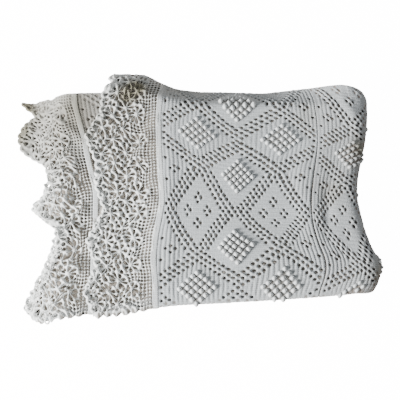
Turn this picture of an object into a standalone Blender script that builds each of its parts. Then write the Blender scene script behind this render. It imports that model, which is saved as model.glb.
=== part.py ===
"""A white cotton crochet bedspread, folded into a bundle, in metres with +Z up.

The bedspread is 1.5 by 2.1 m. It is folded lengthwise into a pack of four plies, and that pack is
folded crosswise into four runs: the top run, the second, the third and the bottom one. Seven
crocheted strips make its ground, and each end has a plain heading and a lace border. The border on
the top run lies on the second run, and the second run's own border hangs over the left-hand folds
and down to the surface. X runs along the strips' width to the closed folds, Y away from the near
folds, and the origin is at the middle of the bundle's box, on the surface.
"""

import math

import bpy
import numpy as np

# The cloth and its lengthwise fold
SHEET = 0.003
PLY = 0.0045
PLIES = 4
PACK = PLY * PLIES
FOLD_STEPS = 3
FOLD_REACH = (PLY + SHEET) / 2
UNDERSIDE = (PLY - SHEET) / 2

# The four runs
RUN_GAP = 0.0012
FOLD_X = 0.263
LEFT_X = -0.226
START_X = -0.230

# Where the second run hangs over the left-hand fold and lies on the surface
DROOP = math.radians(38)
FOOT_RADIUS = 0.030
LYING = 0.060

# The lace is thinner than the ground, and its plies lie closer
LACE_SQUEEZE = 0.667
SQUEEZE_OVER = 0.040

# The far side of the top run bends down over the narrower runs below it
FLAP_RADIUS = 0.007

HEADING_WIDTH = 0.009
STRIPS = 7
FIRST_STRIP = 0.287
JOIN_GAP = 0.0003

# Stations along the path, and the shares of the width at which each ply has a point
STEP_FLAT = 0.160
STEP_LACE = 0.045
STEP_TURN = math.radians(36)
STEP_LEAST = 0.006
WIDTHS = (0.06, 0.14, 0.28, 0.48, 0.68, 0.84, 0.91)
SHARE_LEAST = 0.030

# The near edge rounds down over this width, by this share of the height
NEAR_ROUND, NEAR_DROP = 0.040, 0.10

# Legs of the path that the pack's reference face follows: name, length, turn to the left, radius.
# A leg has a length or a radius. The reference face is the top run's underside.
CENTRE_RADIUS = PACK + RUN_GAP / 2
OUTER_RADIUS = PACK + 1.5 * RUN_GAP
EDGE_RADIUS = 2 * PACK + 1.5 * RUN_GAP
HALF_TURN = math.pi
RUN = FOLD_X - LEFT_X
SECOND_TOP = 3 * PACK + 2 * RUN_GAP
TURNS_DROP = (EDGE_RADIUS + FOOT_RADIUS) * (1 - math.cos(DROOP))
LACE_TOP = UNDERSIDE + LACE_SQUEEZE * (PACK - UNDERSIDE)
SLOPE = (SECOND_TOP - LACE_TOP - TURNS_DROP) / math.sin(DROOP)
LEGS = (
    ("top run", FOLD_X - START_X, 0, 0),
    ("outer fold", 0, -HALF_TURN, OUTER_RADIUS),
    ("bottom run", RUN, 0, 0),
    ("left fold", 0, -HALF_TURN, RUN_GAP / 2),
    ("third run", RUN, 0, 0),
    ("inner fold", 0, HALF_TURN, CENTRE_RADIUS),
    ("second run", RUN, 0, 0),
    ("over the fold", 0, DROOP, EDGE_RADIUS),
    ("slope", SLOPE, 0, 0),
    ("foot", 0, -DROOP, FOOT_RADIUS),
    ("lying", LYING, 0, 0),
)

# Near and far edges of each run, on the cloth before the far side bends: leg, x, near, far
EDGES = (
    ("top run", -0.230, -0.223, 0.232),
    ("top run", -0.200, -0.225, 0.235),
    ("top run", -0.150, -0.222, 0.240),
    ("top run", -0.110, -0.217, 0.230),
    ("top run", -0.070, -0.211, 0.218),
    ("top run", -0.040, -0.207, 0.207),
    ("top run", 0.044, -0.203, 0.200),
    ("top run", 0.150, -0.197, 0.186),
    ("top run", 0.210, -0.193, 0.183),
    ("top run", 0.263, -0.188, 0.182),
    ("bottom run", 0.263, -0.172, 0.150),
    ("bottom run", 0.000, -0.179, 0.149),
    ("bottom run", -0.226, -0.186, 0.158),
    ("third run", -0.226, -0.191, 0.163),
    ("third run", 0.000, -0.186, 0.144),
    ("third run", 0.263, -0.178, 0.146),
    ("second run", 0.263, -0.182, 0.138),
    ("second run", 0.150, -0.192, 0.132),
    ("second run", 0.044, -0.196, 0.132),
    ("second run", -0.040, -0.201, 0.141),
    ("second run", -0.070, -0.205, 0.149),
    ("second run", -0.110, -0.211, 0.161),
    ("second run", -0.150, -0.217, 0.175),
    ("second run", -0.185, -0.223, 0.176),
    ("second run", -0.230, -0.229, 0.174),
    ("second run", -0.267, -0.235, 0.173),
    ("second run", -0.300, -0.219, 0.175),
    ("second run", -0.330, -0.207, 0.176),
)

# The far flap of the top run: x, y where it starts to bend, and how far it bends, in degrees
FLAP = (
    (-0.230, 0.176, 50),
    (-0.150, 0.174, 50),
    (-0.110, 0.163, 50),
    (-0.070, 0.151, 50),
    (-0.040, 0.143, 50),
    (0.000, 0.137, 50),
    (0.120, 0.137, 48),
    (0.200, 0.139, 26),
    (0.263, 0.140, 0),
)

# Heading lines and lace tips: y, x on the top run or the second run
UPPER_HEAD = (
    (0.230, -0.060),
    (0.120, -0.070),
    (0.000, -0.065),
    (-0.093, -0.077),
    (-0.170, -0.073),
    (-0.225, -0.074),
)
LOWER_HEAD = (
    (0.180, -0.219),
    (0.150, -0.216),
    (0.092, -0.199),
    (0.041, -0.187),
    (-0.006, -0.174),
    (-0.075, -0.172),
    (-0.229, -0.176),
)
UPPER_TIPS = (
    (0.240, -0.150),
    (0.222, -0.166),
    (0.200, -0.152),
    (0.172, -0.170),
    (0.133, -0.173),
    (0.088, -0.198),
    (0.039, -0.177),
    (0.001, -0.178),
    (-0.044, -0.161),
    (-0.098, -0.189),
    (-0.140, -0.172),
    (-0.185, -0.190),
    (-0.225, -0.172),
)
LOWER_TIPS = (
    (0.176, -0.324),
    (0.148, -0.297),
    (0.128, -0.320),
    (0.105, -0.329),
    (0.078, -0.320),
    (0.048, -0.275),
    (0.016, -0.263),
    (-0.008, -0.274),
    (-0.030, -0.297),
    (-0.050, -0.274),
    (-0.076, -0.242),
    (-0.110, -0.252),
    (-0.150, -0.270),
    (-0.185, -0.290),
    (-0.207, -0.300),
    (-0.229, -0.272),
)
# How far each ply's lace stops short of those tips, from the visible ply inwards
SHORT_BY = (0.0, 0.007, 0.003, 0.009)

# How the closed end bows in and out along the folds: y, shift in x at the closed end
BOW = (
    (0.200, -0.008),
    (0.165, 0.001),
    (0.120, 0.000),
    (0.080, -0.006),
    (0.050, -0.014),
    (0.016, -0.022),
    (-0.018, -0.025),
    (-0.045, -0.021),
    (-0.080, -0.014),
    (-0.108, -0.004),
    (-0.126, 0.006),
    (-0.140, 0.010),
    (-0.155, 0.008),
    (-0.170, 0.002),
    (-0.190, -0.008),
)

# Soft ridges and troughs of the stack: x, y, half length, half width, turn in degrees, height
CREASES = (
    (0.212, -0.020, 0.150, 0.026, 84, 0.0028),
    (0.020, 0.050, 0.160, 0.050, 28, 0.0022),
    (0.110, -0.120, 0.110, 0.045, -12, 0.0030),
    (-0.100, 0.010, 0.150, 0.035, 92, -0.0024),
    (0.090, 0.110, 0.090, 0.030, 8, -0.0026),
    (0.255, 0.150, 0.050, 0.050, 0, 0.0040),
    (-0.030, -0.150, 0.070, 0.040, 20, -0.0022),
)
STACK = 4 * PACK + 3 * RUN_GAP

# Folds of the serpentine: side, and how far each stops short of its run's edge
FOLDS = (("near", 0.004), ("far", 0.005), ("near", 0.0))
FREE_SHORT = (0.002, 0.0)


def column(table, index):
    return np.array([row[index] for row in table])


def follow(table, at, index=1):
    """Read a column of a table at values of its first column, straight between its rows."""
    order = np.argsort(column(table, 0))
    return np.interp(at, column(table, 0)[order], column(table, index)[order])


def leg_starts():
    """Where each leg starts: distance along the path, x, z, heading."""
    starts = {}
    s, x, z, heading = 0.0, START_X, STACK - PACK, 0.0
    for name, length, turn, radius in LEGS:
        starts[name] = (s, x, z, heading)
        if turn:
            side = math.copysign(radius, turn)
            x += side * (math.sin(heading + turn) - math.sin(heading))
            z -= side * (math.cos(heading + turn) - math.cos(heading))
            heading += turn
            s += radius * abs(turn)
        else:
            x += length * math.cos(heading)
            z += length * math.sin(heading)
            s += length
    return starts


STARTS = leg_starts()


def leg_length(length, turn, radius):
    return radius * abs(turn) if turn else length


def reference(s):
    """The path's point and heading at distances s."""
    s = np.asarray(s, float)
    x, z, heading = np.empty_like(s), np.empty_like(s), np.empty_like(s)
    for name, length, turn, radius in LEGS:
        s0, x0, z0, heading0 = STARTS[name]
        here = s >= s0
        along = s[here] - s0
        if turn:
            side = math.copysign(radius, turn)
            now = heading0 + along / side
            x[here] = x0 + side * (np.sin(now) - math.sin(heading0))
            z[here] = z0 - side * (np.cos(now) - math.cos(heading0))
            heading[here] = now
        else:
            x[here] = x0 + along * math.cos(heading0)
            z[here] = z0 + along * math.sin(heading0)
            heading[here] = heading0
    return x, z, heading


def top_distance(x):
    """Distance along the path of a point of the top run."""
    return np.asarray(x) - START_X


def second_distance(x):
    """Distance along the path of a point of the second run or of what hangs from it."""
    first = STARTS["second run"][0]
    last = STARTS["lying"][0] + LYING
    s = np.linspace(first, last, 400)
    return np.interp(-np.asarray(x), -reference(s)[0], s)


def edge_table():
    """Near and far edges against distance along the path."""
    rows = []
    for leg, x, near, far in EDGES:
        s0, x0, _, heading = STARTS[leg]
        if leg == "second run":
            s = float(second_distance(x))
        else:
            s = s0 + (x - x0) * math.cos(heading)
        rows.append((s, near, far))
    return tuple(rows)


EDGE_ROWS = edge_table()


def squeeze(s):
    """The pack's thickness as a share of the ground's."""
    upper = top_distance(-0.080)
    lower = second_distance(-0.205)
    at = (upper - SQUEEZE_OVER, upper, lower, lower + SQUEEZE_OVER)
    return np.interp(s, at, (LACE_SQUEEZE, 1, 1, LACE_SQUEEZE))


def bend_flap(s, x, y):
    """Bend the far side of the top run. Returns y, the drop, and the angle of the bend."""
    start = follow(FLAP, x)
    most = np.radians(follow(FLAP, x, 2)) * (s < STARTS["outer fold"][0])
    past = np.maximum(y - start, 0)
    middle = FLAP_RADIUS + PACK / 2
    angle = np.minimum(past / middle, most)
    rest = past - middle * angle
    bent = start + FLAP_RADIUS * np.sin(angle) + rest * np.cos(angle)
    drop = FLAP_RADIUS * (1 - np.cos(angle)) + rest * np.sin(angle)
    return np.where(past > 0, bent, y), drop, angle


def crease_height(x, y):
    total = np.zeros_like(x)
    for cx, cy, long, wide, turn, height in CREASES:
        c, sn = math.cos(math.radians(turn)), math.sin(math.radians(turn))
        u = (x - cx) * c + (y - cy) * sn
        v = (y - cy) * c - (x - cx) * sn
        total += height * np.exp(-((u / long) ** 2) - (v / wide) ** 2)
    return total


def place(s, y, h):
    """The point at distance s along the path, y across it and h above the reference face."""
    x, z, heading = reference(s)
    y, drop, angle = bend_flap(s, x, y)
    h = h * squeeze(s)
    near = np.interp(s, column(EDGE_ROWS, 0), column(EDGE_ROWS, 1))
    x = x - h * np.cos(angle) * np.sin(heading)
    z = z + h * np.cos(angle) * np.cos(heading) - drop
    y = y + h * np.sin(angle)
    inside = np.clip((y - near) / NEAR_ROUND, 0, 1)
    rounding = NEAR_DROP * (1 - inside) ** 2
    z = UNDERSIDE + (z - UNDERSIDE) * (1 + crease_height(x, y) / STACK - rounding)
    x = x + follow(BOW, y) * np.clip(x / FOLD_X, 0, 1)
    return np.stack([x, y, z], axis=-1)


def serpentine(widths):
    """The pack's section as a closed band: rows of share of width, shift in y and height."""
    centre = []
    for ply in range(PLIES):
        level = (ply + 0.5) * PLY
        shares = list(widths)
        if ply % 2 == 0:
            shares.reverse()
        if ply == 0:
            centre.append((1, -FREE_SHORT[0], level, 0))
        centre += [(share, 0, level, 0 if ply % 2 else math.pi) for share in shares]
        if ply == PLIES - 1:
            centre.append((1, -FREE_SHORT[1], level, 0))
            continue
        side, short = FOLDS[ply]
        inwards = 1 if side == "near" else -1
        for step in range(FOLD_STEPS + 1):
            turn = math.pi * step / FOLD_STEPS
            shift = inwards * (short + FOLD_REACH - PLY / 2 * math.sin(turn))
            rise = PLY / 2 * (1 - math.cos(turn))
            way = math.pi - turn if side == "near" else turn
            centre.append((0 if side == "near" else 1, shift, level + rise, way))
    band = []
    for offset in (SHEET / 2, -SHEET / 2):
        line = []
        for share, shift, height, way in centre:
            line.append((share, shift - offset * math.sin(way), height + offset * math.cos(way)))
        band.append(line)
    return band


def stations(first, last, step):
    """Shares of the way from one distance to another at which the pack is sectioned."""
    marks = []
    for name, length, turn, radius in LEGS:
        s0 = STARTS[name][0]
        whole = leg_length(length, turn, radius)
        pieces = math.ceil(abs(turn) / STEP_TURN if turn else whole / step)
        marks += [s0 + whole * i / pieces for i in range(pieces)]
    inner = [m for m in marks if first + STEP_LEAST < m < last - STEP_LEAST]
    return [(m - first) / (last - first) for m in [first, *inner, last]]


def edges_at(s):
    """The near and far edge at distances s along the path."""
    return [np.interp(s, column(EDGE_ROWS, 0), column(EDGE_ROWS, i)) for i in (1, 2)]


def section_points(line, share, shift, h):
    """Points of one section. line gives distances along the path from share and h."""
    s = line(share, h)
    near, far = edges_at(s)
    return place(s, near + share * (far - near) + shift, h)


def joined_points(line, share, shift, h):
    """Points of a section that meets a piece with fewer points: straight between the common ones."""
    common = np.array((0, *WIDTHS, 1))
    above = np.clip(np.searchsorted(common, share), 1, len(common) - 1)
    low, high = common[above - 1], common[above]
    part = ((share - low) / (high - low))[:, None]
    below = section_points(line, low, shift, h)
    return below + part * (section_points(line, high, shift, h) - below)


def pack_section(name, widths, start, end, material, step=STEP_FLAT, joined=None):
    """A closed length of the folded pack. start and end give distances from share and h."""
    left, right = serpentine(widths)
    around = len(left) + len(right)
    half = len(left)
    share, shift, h = np.array(left + right[::-1]).T
    first, last = float(np.mean(start(share, h))), float(np.mean(end(share, h)))
    rings = []
    for part in stations(first, last, step):

        def line(share, h, part=part):
            return start(share, h) * (1 - part) + end(share, h) * part

        points = joined_points if part == joined else section_points
        rings.append(points(line, share, shift, h))
    faces = []
    for r in range(len(rings) - 1):
        for i in range(around):
            j = (i + 1) % around
            a, b = r * around, (r + 1) * around
            faces.append((a + i, b + i, b + j, a + j))
    last = (len(rings) - 1) * around
    for i in range(half - 1):
        j, k, m = i + 1, around - 2 - i, around - 1 - i
        faces.append((i, j, k, m))
        faces.append((last + m, last + k, last + j, last + i))
    mesh = bpy.data.meshes.new(name)
    mesh.from_pydata([tuple(p) for p in np.concatenate(rings)], [], faces)
    mesh.materials.append(material)
    mesh.shade_smooth()
    piece = bpy.data.objects.new(name, mesh)
    bpy.context.scene.collection.objects.link(piece)
    return piece


def cotton(name, colour):
    material = bpy.data.materials.new(name)
    material.use_nodes = True
    shader = material.node_tree.nodes["Principled BSDF"]
    shader.inputs["Base Color"].default_value = (*colour, 1)
    shader.inputs["Roughness"].default_value = 0.9
    shader.inputs["Metallic"].default_value = 0
    return material


def at(distance):
    return lambda share, h: np.full(np.shape(share), float(distance))


def head_line(table, to_distance, beyond):
    """A heading's edge, straight between the points that every section has."""
    shares = np.array((0, *WIDTHS, 1))
    near, far = edges_at(to_distance(np.mean(column(table, 1))))
    line = to_distance(follow(table, near + shares * (far - near)))
    return lambda share, h: np.interp(share, shares, line) + beyond


def tip_line(table, to_distance, direction, plies):
    """The zigzag that a border ends in. Each ply stops a little short of the visible one."""
    levels = [(i + 0.5) * PLY for i in range(PLIES)]
    near, far = edges_at(to_distance(np.mean(column(table, 1))))

    def distance(share, h):
        short = np.interp(h, levels, plies)
        return to_distance(follow(table, near + share * (far - near))) - direction * short

    return distance


def tip_widths(table, to_distance):
    """The common shares of the width, and one at each tip and recess of a border."""
    near, far = edges_at(to_distance(np.mean(column(table, 1))))
    shares = list(WIDTHS)
    for y in column(table, 0):
        share = (y - near) / (far - near)
        if all(abs(share - other) > SHARE_LEAST for other in (0, 1, *shares)):
            shares.append(share)
    return sorted(s for s in shares if 0 < s < 1)


def build_borders(lace, band):
    gap = JOIN_GAP / 2
    tips = tip_line(UPPER_TIPS, top_distance, -1, SHORT_BY[::-1])
    inner = head_line(UPPER_HEAD, top_distance, -HEADING_WIDTH - gap)
    widths = tip_widths(UPPER_TIPS, top_distance)
    pack_section("lace_border_upper", widths, tips, inner, lace, STEP_LACE, 1)
    start = head_line(UPPER_HEAD, top_distance, -HEADING_WIDTH + gap)
    end = head_line(UPPER_HEAD, top_distance, -gap)
    pack_section("heading_upper", WIDTHS, start, end, band)
    widths = tip_widths(LOWER_TIPS, second_distance)
    start = head_line(LOWER_HEAD, second_distance, gap)
    end = head_line(LOWER_HEAD, second_distance, HEADING_WIDTH - gap)
    pack_section("heading_lower", widths, start, end, band)
    inner = head_line(LOWER_HEAD, second_distance, HEADING_WIDTH + gap)
    tips = tip_line(LOWER_TIPS, second_distance, 1, SHORT_BY)
    pack_section("lace_border_lower", widths, inner, tips, lace, STEP_LACE)


def build_ground(ground):
    """The strips of the ground, from the upper heading to the lower one."""
    first = top_distance(np.mean(column(UPPER_HEAD, 1)))
    last = second_distance(np.mean(column(LOWER_HEAD, 1)))
    seams = np.linspace(first + FIRST_STRIP, last, STRIPS)
    gap = JOIN_GAP / 2
    for i in range(STRIPS):
        start = at(seams[i - 1] + gap) if i else head_line(UPPER_HEAD, top_distance, gap)
        name = f"ground_strip_{i + 1}"
        if i < STRIPS - 1:
            pack_section(name, WIDTHS, start, at(seams[i] - gap), ground)
        else:
            widths = tip_widths(LOWER_TIPS, second_distance)
            end = head_line(LOWER_HEAD, second_distance, -gap)
            pack_section(name, widths, start, end, ground, joined=0)


def stand_at_origin():
    """Put the origin at the middle of the bundle's box, on the surface."""
    pieces = list(bpy.context.scene.collection.objects)
    points = np.array([v.co for piece in pieces for v in piece.data.vertices])
    low, high = points.min(axis=0), points.max(axis=0)
    for piece in pieces:
        for v in piece.data.vertices:
            v.co.x -= (low[0] + high[0]) / 2
            v.co.y -= (low[1] + high[1]) / 2
            v.co.z -= low[2]


def main():
    for item in list(bpy.data.objects):
        bpy.data.objects.remove(item)
    build_ground(cotton("ground cotton", (0.56, 0.58, 0.57)))
    build_borders(
        cotton("lace cotton", (0.60, 0.62, 0.60)), cotton("heading cotton", (0.58, 0.60, 0.60))
    )
    stand_at_origin()


main()
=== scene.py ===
"""The looks of a white cotton crochet bedspread, folded into a bundle.

The cloth follows the folded pack of the frame: a top run whose lace border lies on the second run,
and the second run's own border hanging over the left-hand folds. The visible plies are worked as
openwork, bobbles and lace, and the plies under them as folded cloth.
"""

import math
from collections import namedtuple

import bpy
import numpy as np
from bpy.props import FloatProperty, FloatVectorProperty, IntProperty, PointerProperty
from bpy.types import Operator, Panel, PropertyGroup
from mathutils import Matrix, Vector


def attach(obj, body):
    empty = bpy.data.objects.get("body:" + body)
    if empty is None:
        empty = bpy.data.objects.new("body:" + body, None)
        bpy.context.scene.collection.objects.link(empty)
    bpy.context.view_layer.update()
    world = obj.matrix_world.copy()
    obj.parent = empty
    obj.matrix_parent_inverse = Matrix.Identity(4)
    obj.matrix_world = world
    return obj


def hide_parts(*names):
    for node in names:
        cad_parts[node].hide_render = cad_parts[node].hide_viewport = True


bl_info = {
    "name": "Crochet bedspread",
    "version": (1, 0, 0),
    "blender": (4, 5, 0),
    "location": "View3D > Sidebar > Bedspread",
    "description": "Builds the openwork, bobbles and lace of a folded crochet bedspread",
    "category": "Add Mesh",
}

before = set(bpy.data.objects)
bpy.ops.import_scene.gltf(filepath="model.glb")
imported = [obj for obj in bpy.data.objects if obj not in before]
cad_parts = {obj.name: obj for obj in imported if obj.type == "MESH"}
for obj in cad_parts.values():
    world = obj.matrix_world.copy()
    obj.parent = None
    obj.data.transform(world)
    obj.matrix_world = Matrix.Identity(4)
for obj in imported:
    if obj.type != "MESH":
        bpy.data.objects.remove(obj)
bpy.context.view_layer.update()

# ---------------------------------------------------------------- the folded pack

# The cloth and its lengthwise fold
SHEET = 0.003
PLY = 0.0045
PLIES = 4
PACK = PLY * PLIES
FOLD_REACH = (PLY + SHEET) / 2
UNDERSIDE = (PLY - SHEET) / 2

# The four runs
RUNS = 4
RUN_GAP = 0.0012
FOLD_X = 0.263
LEFT_X = -0.226
START_X = -0.230
STACK = RUNS * PACK + (RUNS - 1) * RUN_GAP

# Where the second run hangs over the left-hand fold and lies on the surface
DROOP = math.radians(38)
FOOT_RADIUS = 0.030
LYING = 0.060

# The lace is thinner than the ground: by how much, over what length, and x where that starts on
# the top run and on the second run
LACE_SQUEEZE = 0.667
SQUEEZE_OVER = 0.040
UPPER_THINS = -0.080
LOWER_THINS = -0.205

# The far side of the top run bends down over the narrower runs below it
FLAP_RADIUS = 0.007

# The near edge rounds down over this width, by this share of the height
NEAR_ROUND, NEAR_DROP = 0.040, 0.10

HEADING_WIDTH = 0.0068
STRIPS = 7
FIRST_STRIP = 0.287

# The pack's own axes, seen from the frame's origin
ORIGIN = np.array((-0.01038, -0.00608, 0.00075))

# The path that the pack's reference face follows. The reference face is the top run's underside.
CENTRE_RADIUS = PACK + RUN_GAP / 2
OUTER_RADIUS = PACK + 1.5 * RUN_GAP
EDGE_RADIUS = 2 * PACK + 1.5 * RUN_GAP
HALF_TURN = math.pi
RUN = FOLD_X - LEFT_X
SECOND_TOP = 3 * PACK + 2 * RUN_GAP
TURNS_DROP = (EDGE_RADIUS + FOOT_RADIUS) * (1 - math.cos(DROOP))
LACE_TOP = UNDERSIDE + LACE_SQUEEZE * (PACK - UNDERSIDE)
SLOPE = (SECOND_TOP - LACE_TOP - TURNS_DROP) / math.sin(DROOP)

# Legs of the path: name, length, turn to the left, radius. A leg has a length or a radius.
LEGS = (
    ("top run", FOLD_X - START_X, 0, 0),
    ("outer fold", 0, -HALF_TURN, OUTER_RADIUS),
    ("bottom run", RUN, 0, 0),
    ("left fold", 0, -HALF_TURN, RUN_GAP / 2),
    ("third run", RUN, 0, 0),
    ("inner fold", 0, HALF_TURN, CENTRE_RADIUS),
    ("second run", RUN, 0, 0),
    ("over the fold", 0, DROOP, EDGE_RADIUS),
    ("slope", SLOPE, 0, 0),
    ("foot", 0, -DROOP, FOOT_RADIUS),
    ("lying", LYING, 0, 0),
)

# Near and far edges of each run: leg, x, near, far
EDGES = (
    ("top run", -0.230, -0.223, 0.232),
    ("top run", -0.200, -0.225, 0.235),
    ("top run", -0.150, -0.222, 0.240),
    ("top run", -0.110, -0.217, 0.230),
    ("top run", -0.070, -0.211, 0.218),
    ("top run", -0.040, -0.207, 0.207),
    ("top run", 0.044, -0.203, 0.200),
    ("top run", 0.150, -0.197, 0.186),
    ("top run", 0.210, -0.193, 0.183),
    ("top run", 0.263, -0.188, 0.182),
    ("bottom run", 0.263, -0.172, 0.150),
    ("bottom run", 0.000, -0.179, 0.149),
    ("bottom run", -0.226, -0.186, 0.158),
    ("third run", -0.226, -0.191, 0.163),
    ("third run", 0.000, -0.186, 0.144),
    ("third run", 0.263, -0.178, 0.146),
    ("second run", 0.263, -0.182, 0.138),
    ("second run", 0.150, -0.192, 0.132),
    ("second run", 0.044, -0.196, 0.132),
    ("second run", -0.040, -0.201, 0.141),
    ("second run", -0.070, -0.205, 0.149),
    ("second run", -0.110, -0.211, 0.161),
    ("second run", -0.150, -0.217, 0.175),
    ("second run", -0.185, -0.223, 0.176),
    ("second run", -0.230, -0.229, 0.174),
    ("second run", -0.267, -0.235, 0.173),
    ("second run", -0.300, -0.219, 0.175),
    ("second run", -0.330, -0.207, 0.176),
)

# The far flap of the top run: x, y where it starts to bend, and how far it bends, in degrees
FLAP = (
    (-0.230, 0.176, 50),
    (-0.150, 0.174, 46),
    (-0.118, 0.165, 36),
    (-0.095, 0.158, 36),
    (-0.070, 0.151, 46),
    (-0.040, 0.143, 50),
    (0.000, 0.137, 50),
    (0.120, 0.137, 48),
    (0.200, 0.139, 26),
    (0.263, 0.140, 0),
)

# Heading lines and lace tips: y, and x on the top run or on the second run
UPPER_HEAD = (
    (0.230, -0.058),
    (0.120, -0.067),
    (0.050, -0.064),
    (-0.030, -0.058),
    (-0.093, -0.069),
    (-0.130, -0.072),
    (-0.170, -0.068),
    (-0.225, -0.067),
)
LOWER_HEAD = (
    (0.180, -0.219),
    (0.150, -0.216),
    (0.092, -0.199),
    (0.041, -0.187),
    (-0.006, -0.174),
    (-0.075, -0.172),
    (-0.229, -0.176),
)
UPPER_TIPS = (
    (0.240, -0.150),
    (0.222, -0.166),
    (0.200, -0.152),
    (0.172, -0.170),
    (0.133, -0.173),
    (0.088, -0.198),
    (0.039, -0.177),
    (0.001, -0.178),
    (-0.044, -0.161),
    (-0.098, -0.189),
    (-0.140, -0.172),
    (-0.185, -0.190),
    (-0.225, -0.172),
)
LOWER_TIPS = (
    (0.178, -0.318),
    (0.172, -0.326),
    (0.162, -0.318),
    (0.153, -0.304),
    (0.146, -0.299),
    (0.128, -0.320),
    (0.105, -0.329),
    (0.078, -0.320),
    (0.048, -0.275),
    (0.016, -0.263),
    (-0.008, -0.274),
    (-0.030, -0.297),
    (-0.050, -0.274),
    (-0.076, -0.242),
    (-0.110, -0.252),
    (-0.150, -0.270),
    (-0.185, -0.290),
    (-0.207, -0.300),
    (-0.229, -0.272),
)
# How far each ply of a border stops short of its longest ply's edge
SHORT_BY = (0.0, 0.007, 0.003, 0.009)

# How the closed end bows in and out along the folds: y, shift in x at the closed end
BOW = (
    (0.200, -0.008),
    (0.165, 0.001),
    (0.120, 0.000),
    (0.080, -0.006),
    (0.050, -0.014),
    (0.016, -0.022),
    (-0.018, -0.025),
    (-0.045, -0.021),
    (-0.080, -0.014),
    (-0.108, -0.004),
    (-0.126, 0.006),
    (-0.140, 0.010),
    (-0.155, 0.008),
    (-0.170, 0.002),
    (-0.190, -0.008),
)

# Soft ridges and troughs of the stack: x, y, half length, half width, turn in degrees, height
CREASES = (
    (0.212, -0.020, 0.150, 0.026, 84, 0.0028),
    (0.020, 0.050, 0.160, 0.050, 28, 0.0022),
    (0.110, -0.120, 0.110, 0.045, -12, 0.0030),
    (-0.100, 0.010, 0.150, 0.035, 92, -0.0024),
    (0.090, 0.110, 0.090, 0.030, 8, -0.0026),
    (0.255, 0.150, 0.050, 0.050, 0, 0.0040),
    (-0.030, -0.150, 0.070, 0.040, 20, -0.0022),
    (0.236, -0.042, 0.046, 0.011, 78, -0.0034),
    (0.192, 0.000, 0.062, 0.016, 90, 0.0022),
    (0.264, 0.134, 0.040, 0.011, -60, 0.0034),
    (-0.050, -0.020, 0.170, 0.013, 90, 0.0020),
    (-0.120, 0.190, 0.030, 0.024, 0, 0.0050),
    (-0.090, 0.165, 0.030, 0.009, 30, -0.0030),
)

# Folds of the pack: side, and how far each stops short of its run's edge
FOLDS = (("near", 0.004), ("far", 0.005), ("near", 0.0))
# How far the first and the last ply's free edges stop short
FREE_SHORT = (0.002, 0.0)

# Faces of the visible plies, as heights in the pack, and how far the tables are rounded off
TOP_FACE = 3.5 * PLY + SHEET / 2
SECOND_FACE = UNDERSIDE
SOFTEN = 0.009


def follow(table, at, index=1, soften=SOFTEN):
    """Read a column of a table at values of its first column, rounded off over a little way."""
    rows = np.array(sorted(row[:1] + row[index : index + 1] for row in table))
    shifts = soften * np.array((-1, -0.5, 0, 0.5, 1))
    return sum(np.interp(at + shift, rows[:, 0], rows[:, 1]) for shift in shifts) / len(shifts)


def fade(value, width):
    """From 1 where value is nought, falling off on both sides over about width."""
    return np.exp(-((value / width) ** 2))


def ramp(value, start, over):
    """From 0 at start to 1 at a distance over past it, or before it where over is negative."""
    return np.clip((value - start) / over, 0, 1)


def leg_starts():
    """Where each leg starts: distance along the path, x, z, heading."""
    starts = {}
    s, x, z, heading = 0.0, START_X, STACK - PACK, 0.0
    for name, length, turn, radius in LEGS:
        starts[name] = (s, x, z, heading)
        if turn:
            side = math.copysign(radius, turn)
            x += side * (math.sin(heading + turn) - math.sin(heading))
            z -= side * (math.cos(heading + turn) - math.cos(heading))
            heading += turn
            s += radius * abs(turn)
        else:
            x += length * math.cos(heading)
            z += length * math.sin(heading)
            s += length
    return starts


STARTS = leg_starts()


def reference(s):
    """The path's point and heading at distances s."""
    s = np.asarray(s, float)
    x, z, heading = np.empty_like(s), np.empty_like(s), np.empty_like(s)
    for name, _length, turn, radius in LEGS:
        s0, x0, z0, heading0 = STARTS[name]
        here = s >= s0 if s0 else np.ones_like(s, bool)
        along = s[here] - s0
        if turn:
            side = math.copysign(radius, turn)
            now = heading0 + along / side
            x[here] = x0 + side * (np.sin(now) - math.sin(heading0))
            z[here] = z0 - side * (np.cos(now) - math.cos(heading0))
            heading[here] = now
        else:
            x[here] = x0 + along * math.cos(heading0)
            z[here] = z0 + along * math.sin(heading0)
            heading[here] = heading0
    return x, z, heading


def top_distance(x):
    """Distance along the path of a point of the top run."""
    return np.asarray(x) - START_X


SECOND_S = np.linspace(STARTS["second run"][0], STARTS["lying"][0] + LYING, 400)
SECOND_X = reference(SECOND_S)[0]


def second_distance(x):
    """Distance along the path of a point of the second run or of what hangs from it."""
    return np.interp(-np.asarray(x), -SECOND_X, SECOND_S)


def edge_table():
    """Near and far edges against distance along the path."""
    rows = []
    for leg, x, near, far in EDGES:
        s0, x0, _, heading = STARTS[leg]
        if leg == "second run":
            s = float(second_distance(x))
        else:
            s = s0 + (x - x0) * math.cos(heading)
        rows.append((s, near, far))
    return tuple(rows)


EDGE_ROWS = edge_table()


def edges_at(s):
    """The near and far edge at distances s along the path."""
    return [follow(EDGE_ROWS, s, index) for index in (1, 2)]


def squeeze(s):
    """The pack's thickness as a share of the ground's."""
    upper = top_distance(UPPER_THINS)
    lower = second_distance(LOWER_THINS)
    at = (upper - SQUEEZE_OVER, upper, lower, lower + SQUEEZE_OVER)
    return np.interp(s, at, (LACE_SQUEEZE, 1, 1, LACE_SQUEEZE))


def bend_flap(s, x, y):
    """Bend the far side of the top run. Returns y, the drop, and the angle of the bend."""
    start = follow(FLAP, x)
    most = np.radians(follow(FLAP, x, 2)) * (s < STARTS["outer fold"][0])
    past = np.maximum(y - start, 0)
    middle = FLAP_RADIUS + PACK / 2
    angle = np.minimum(past / middle, most)
    rest = past - middle * angle
    bent = start + FLAP_RADIUS * np.sin(angle) + rest * np.cos(angle)
    drop = FLAP_RADIUS * (1 - np.cos(angle)) + rest * np.sin(angle)
    return np.where(past > 0, bent, y), drop, angle


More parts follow.
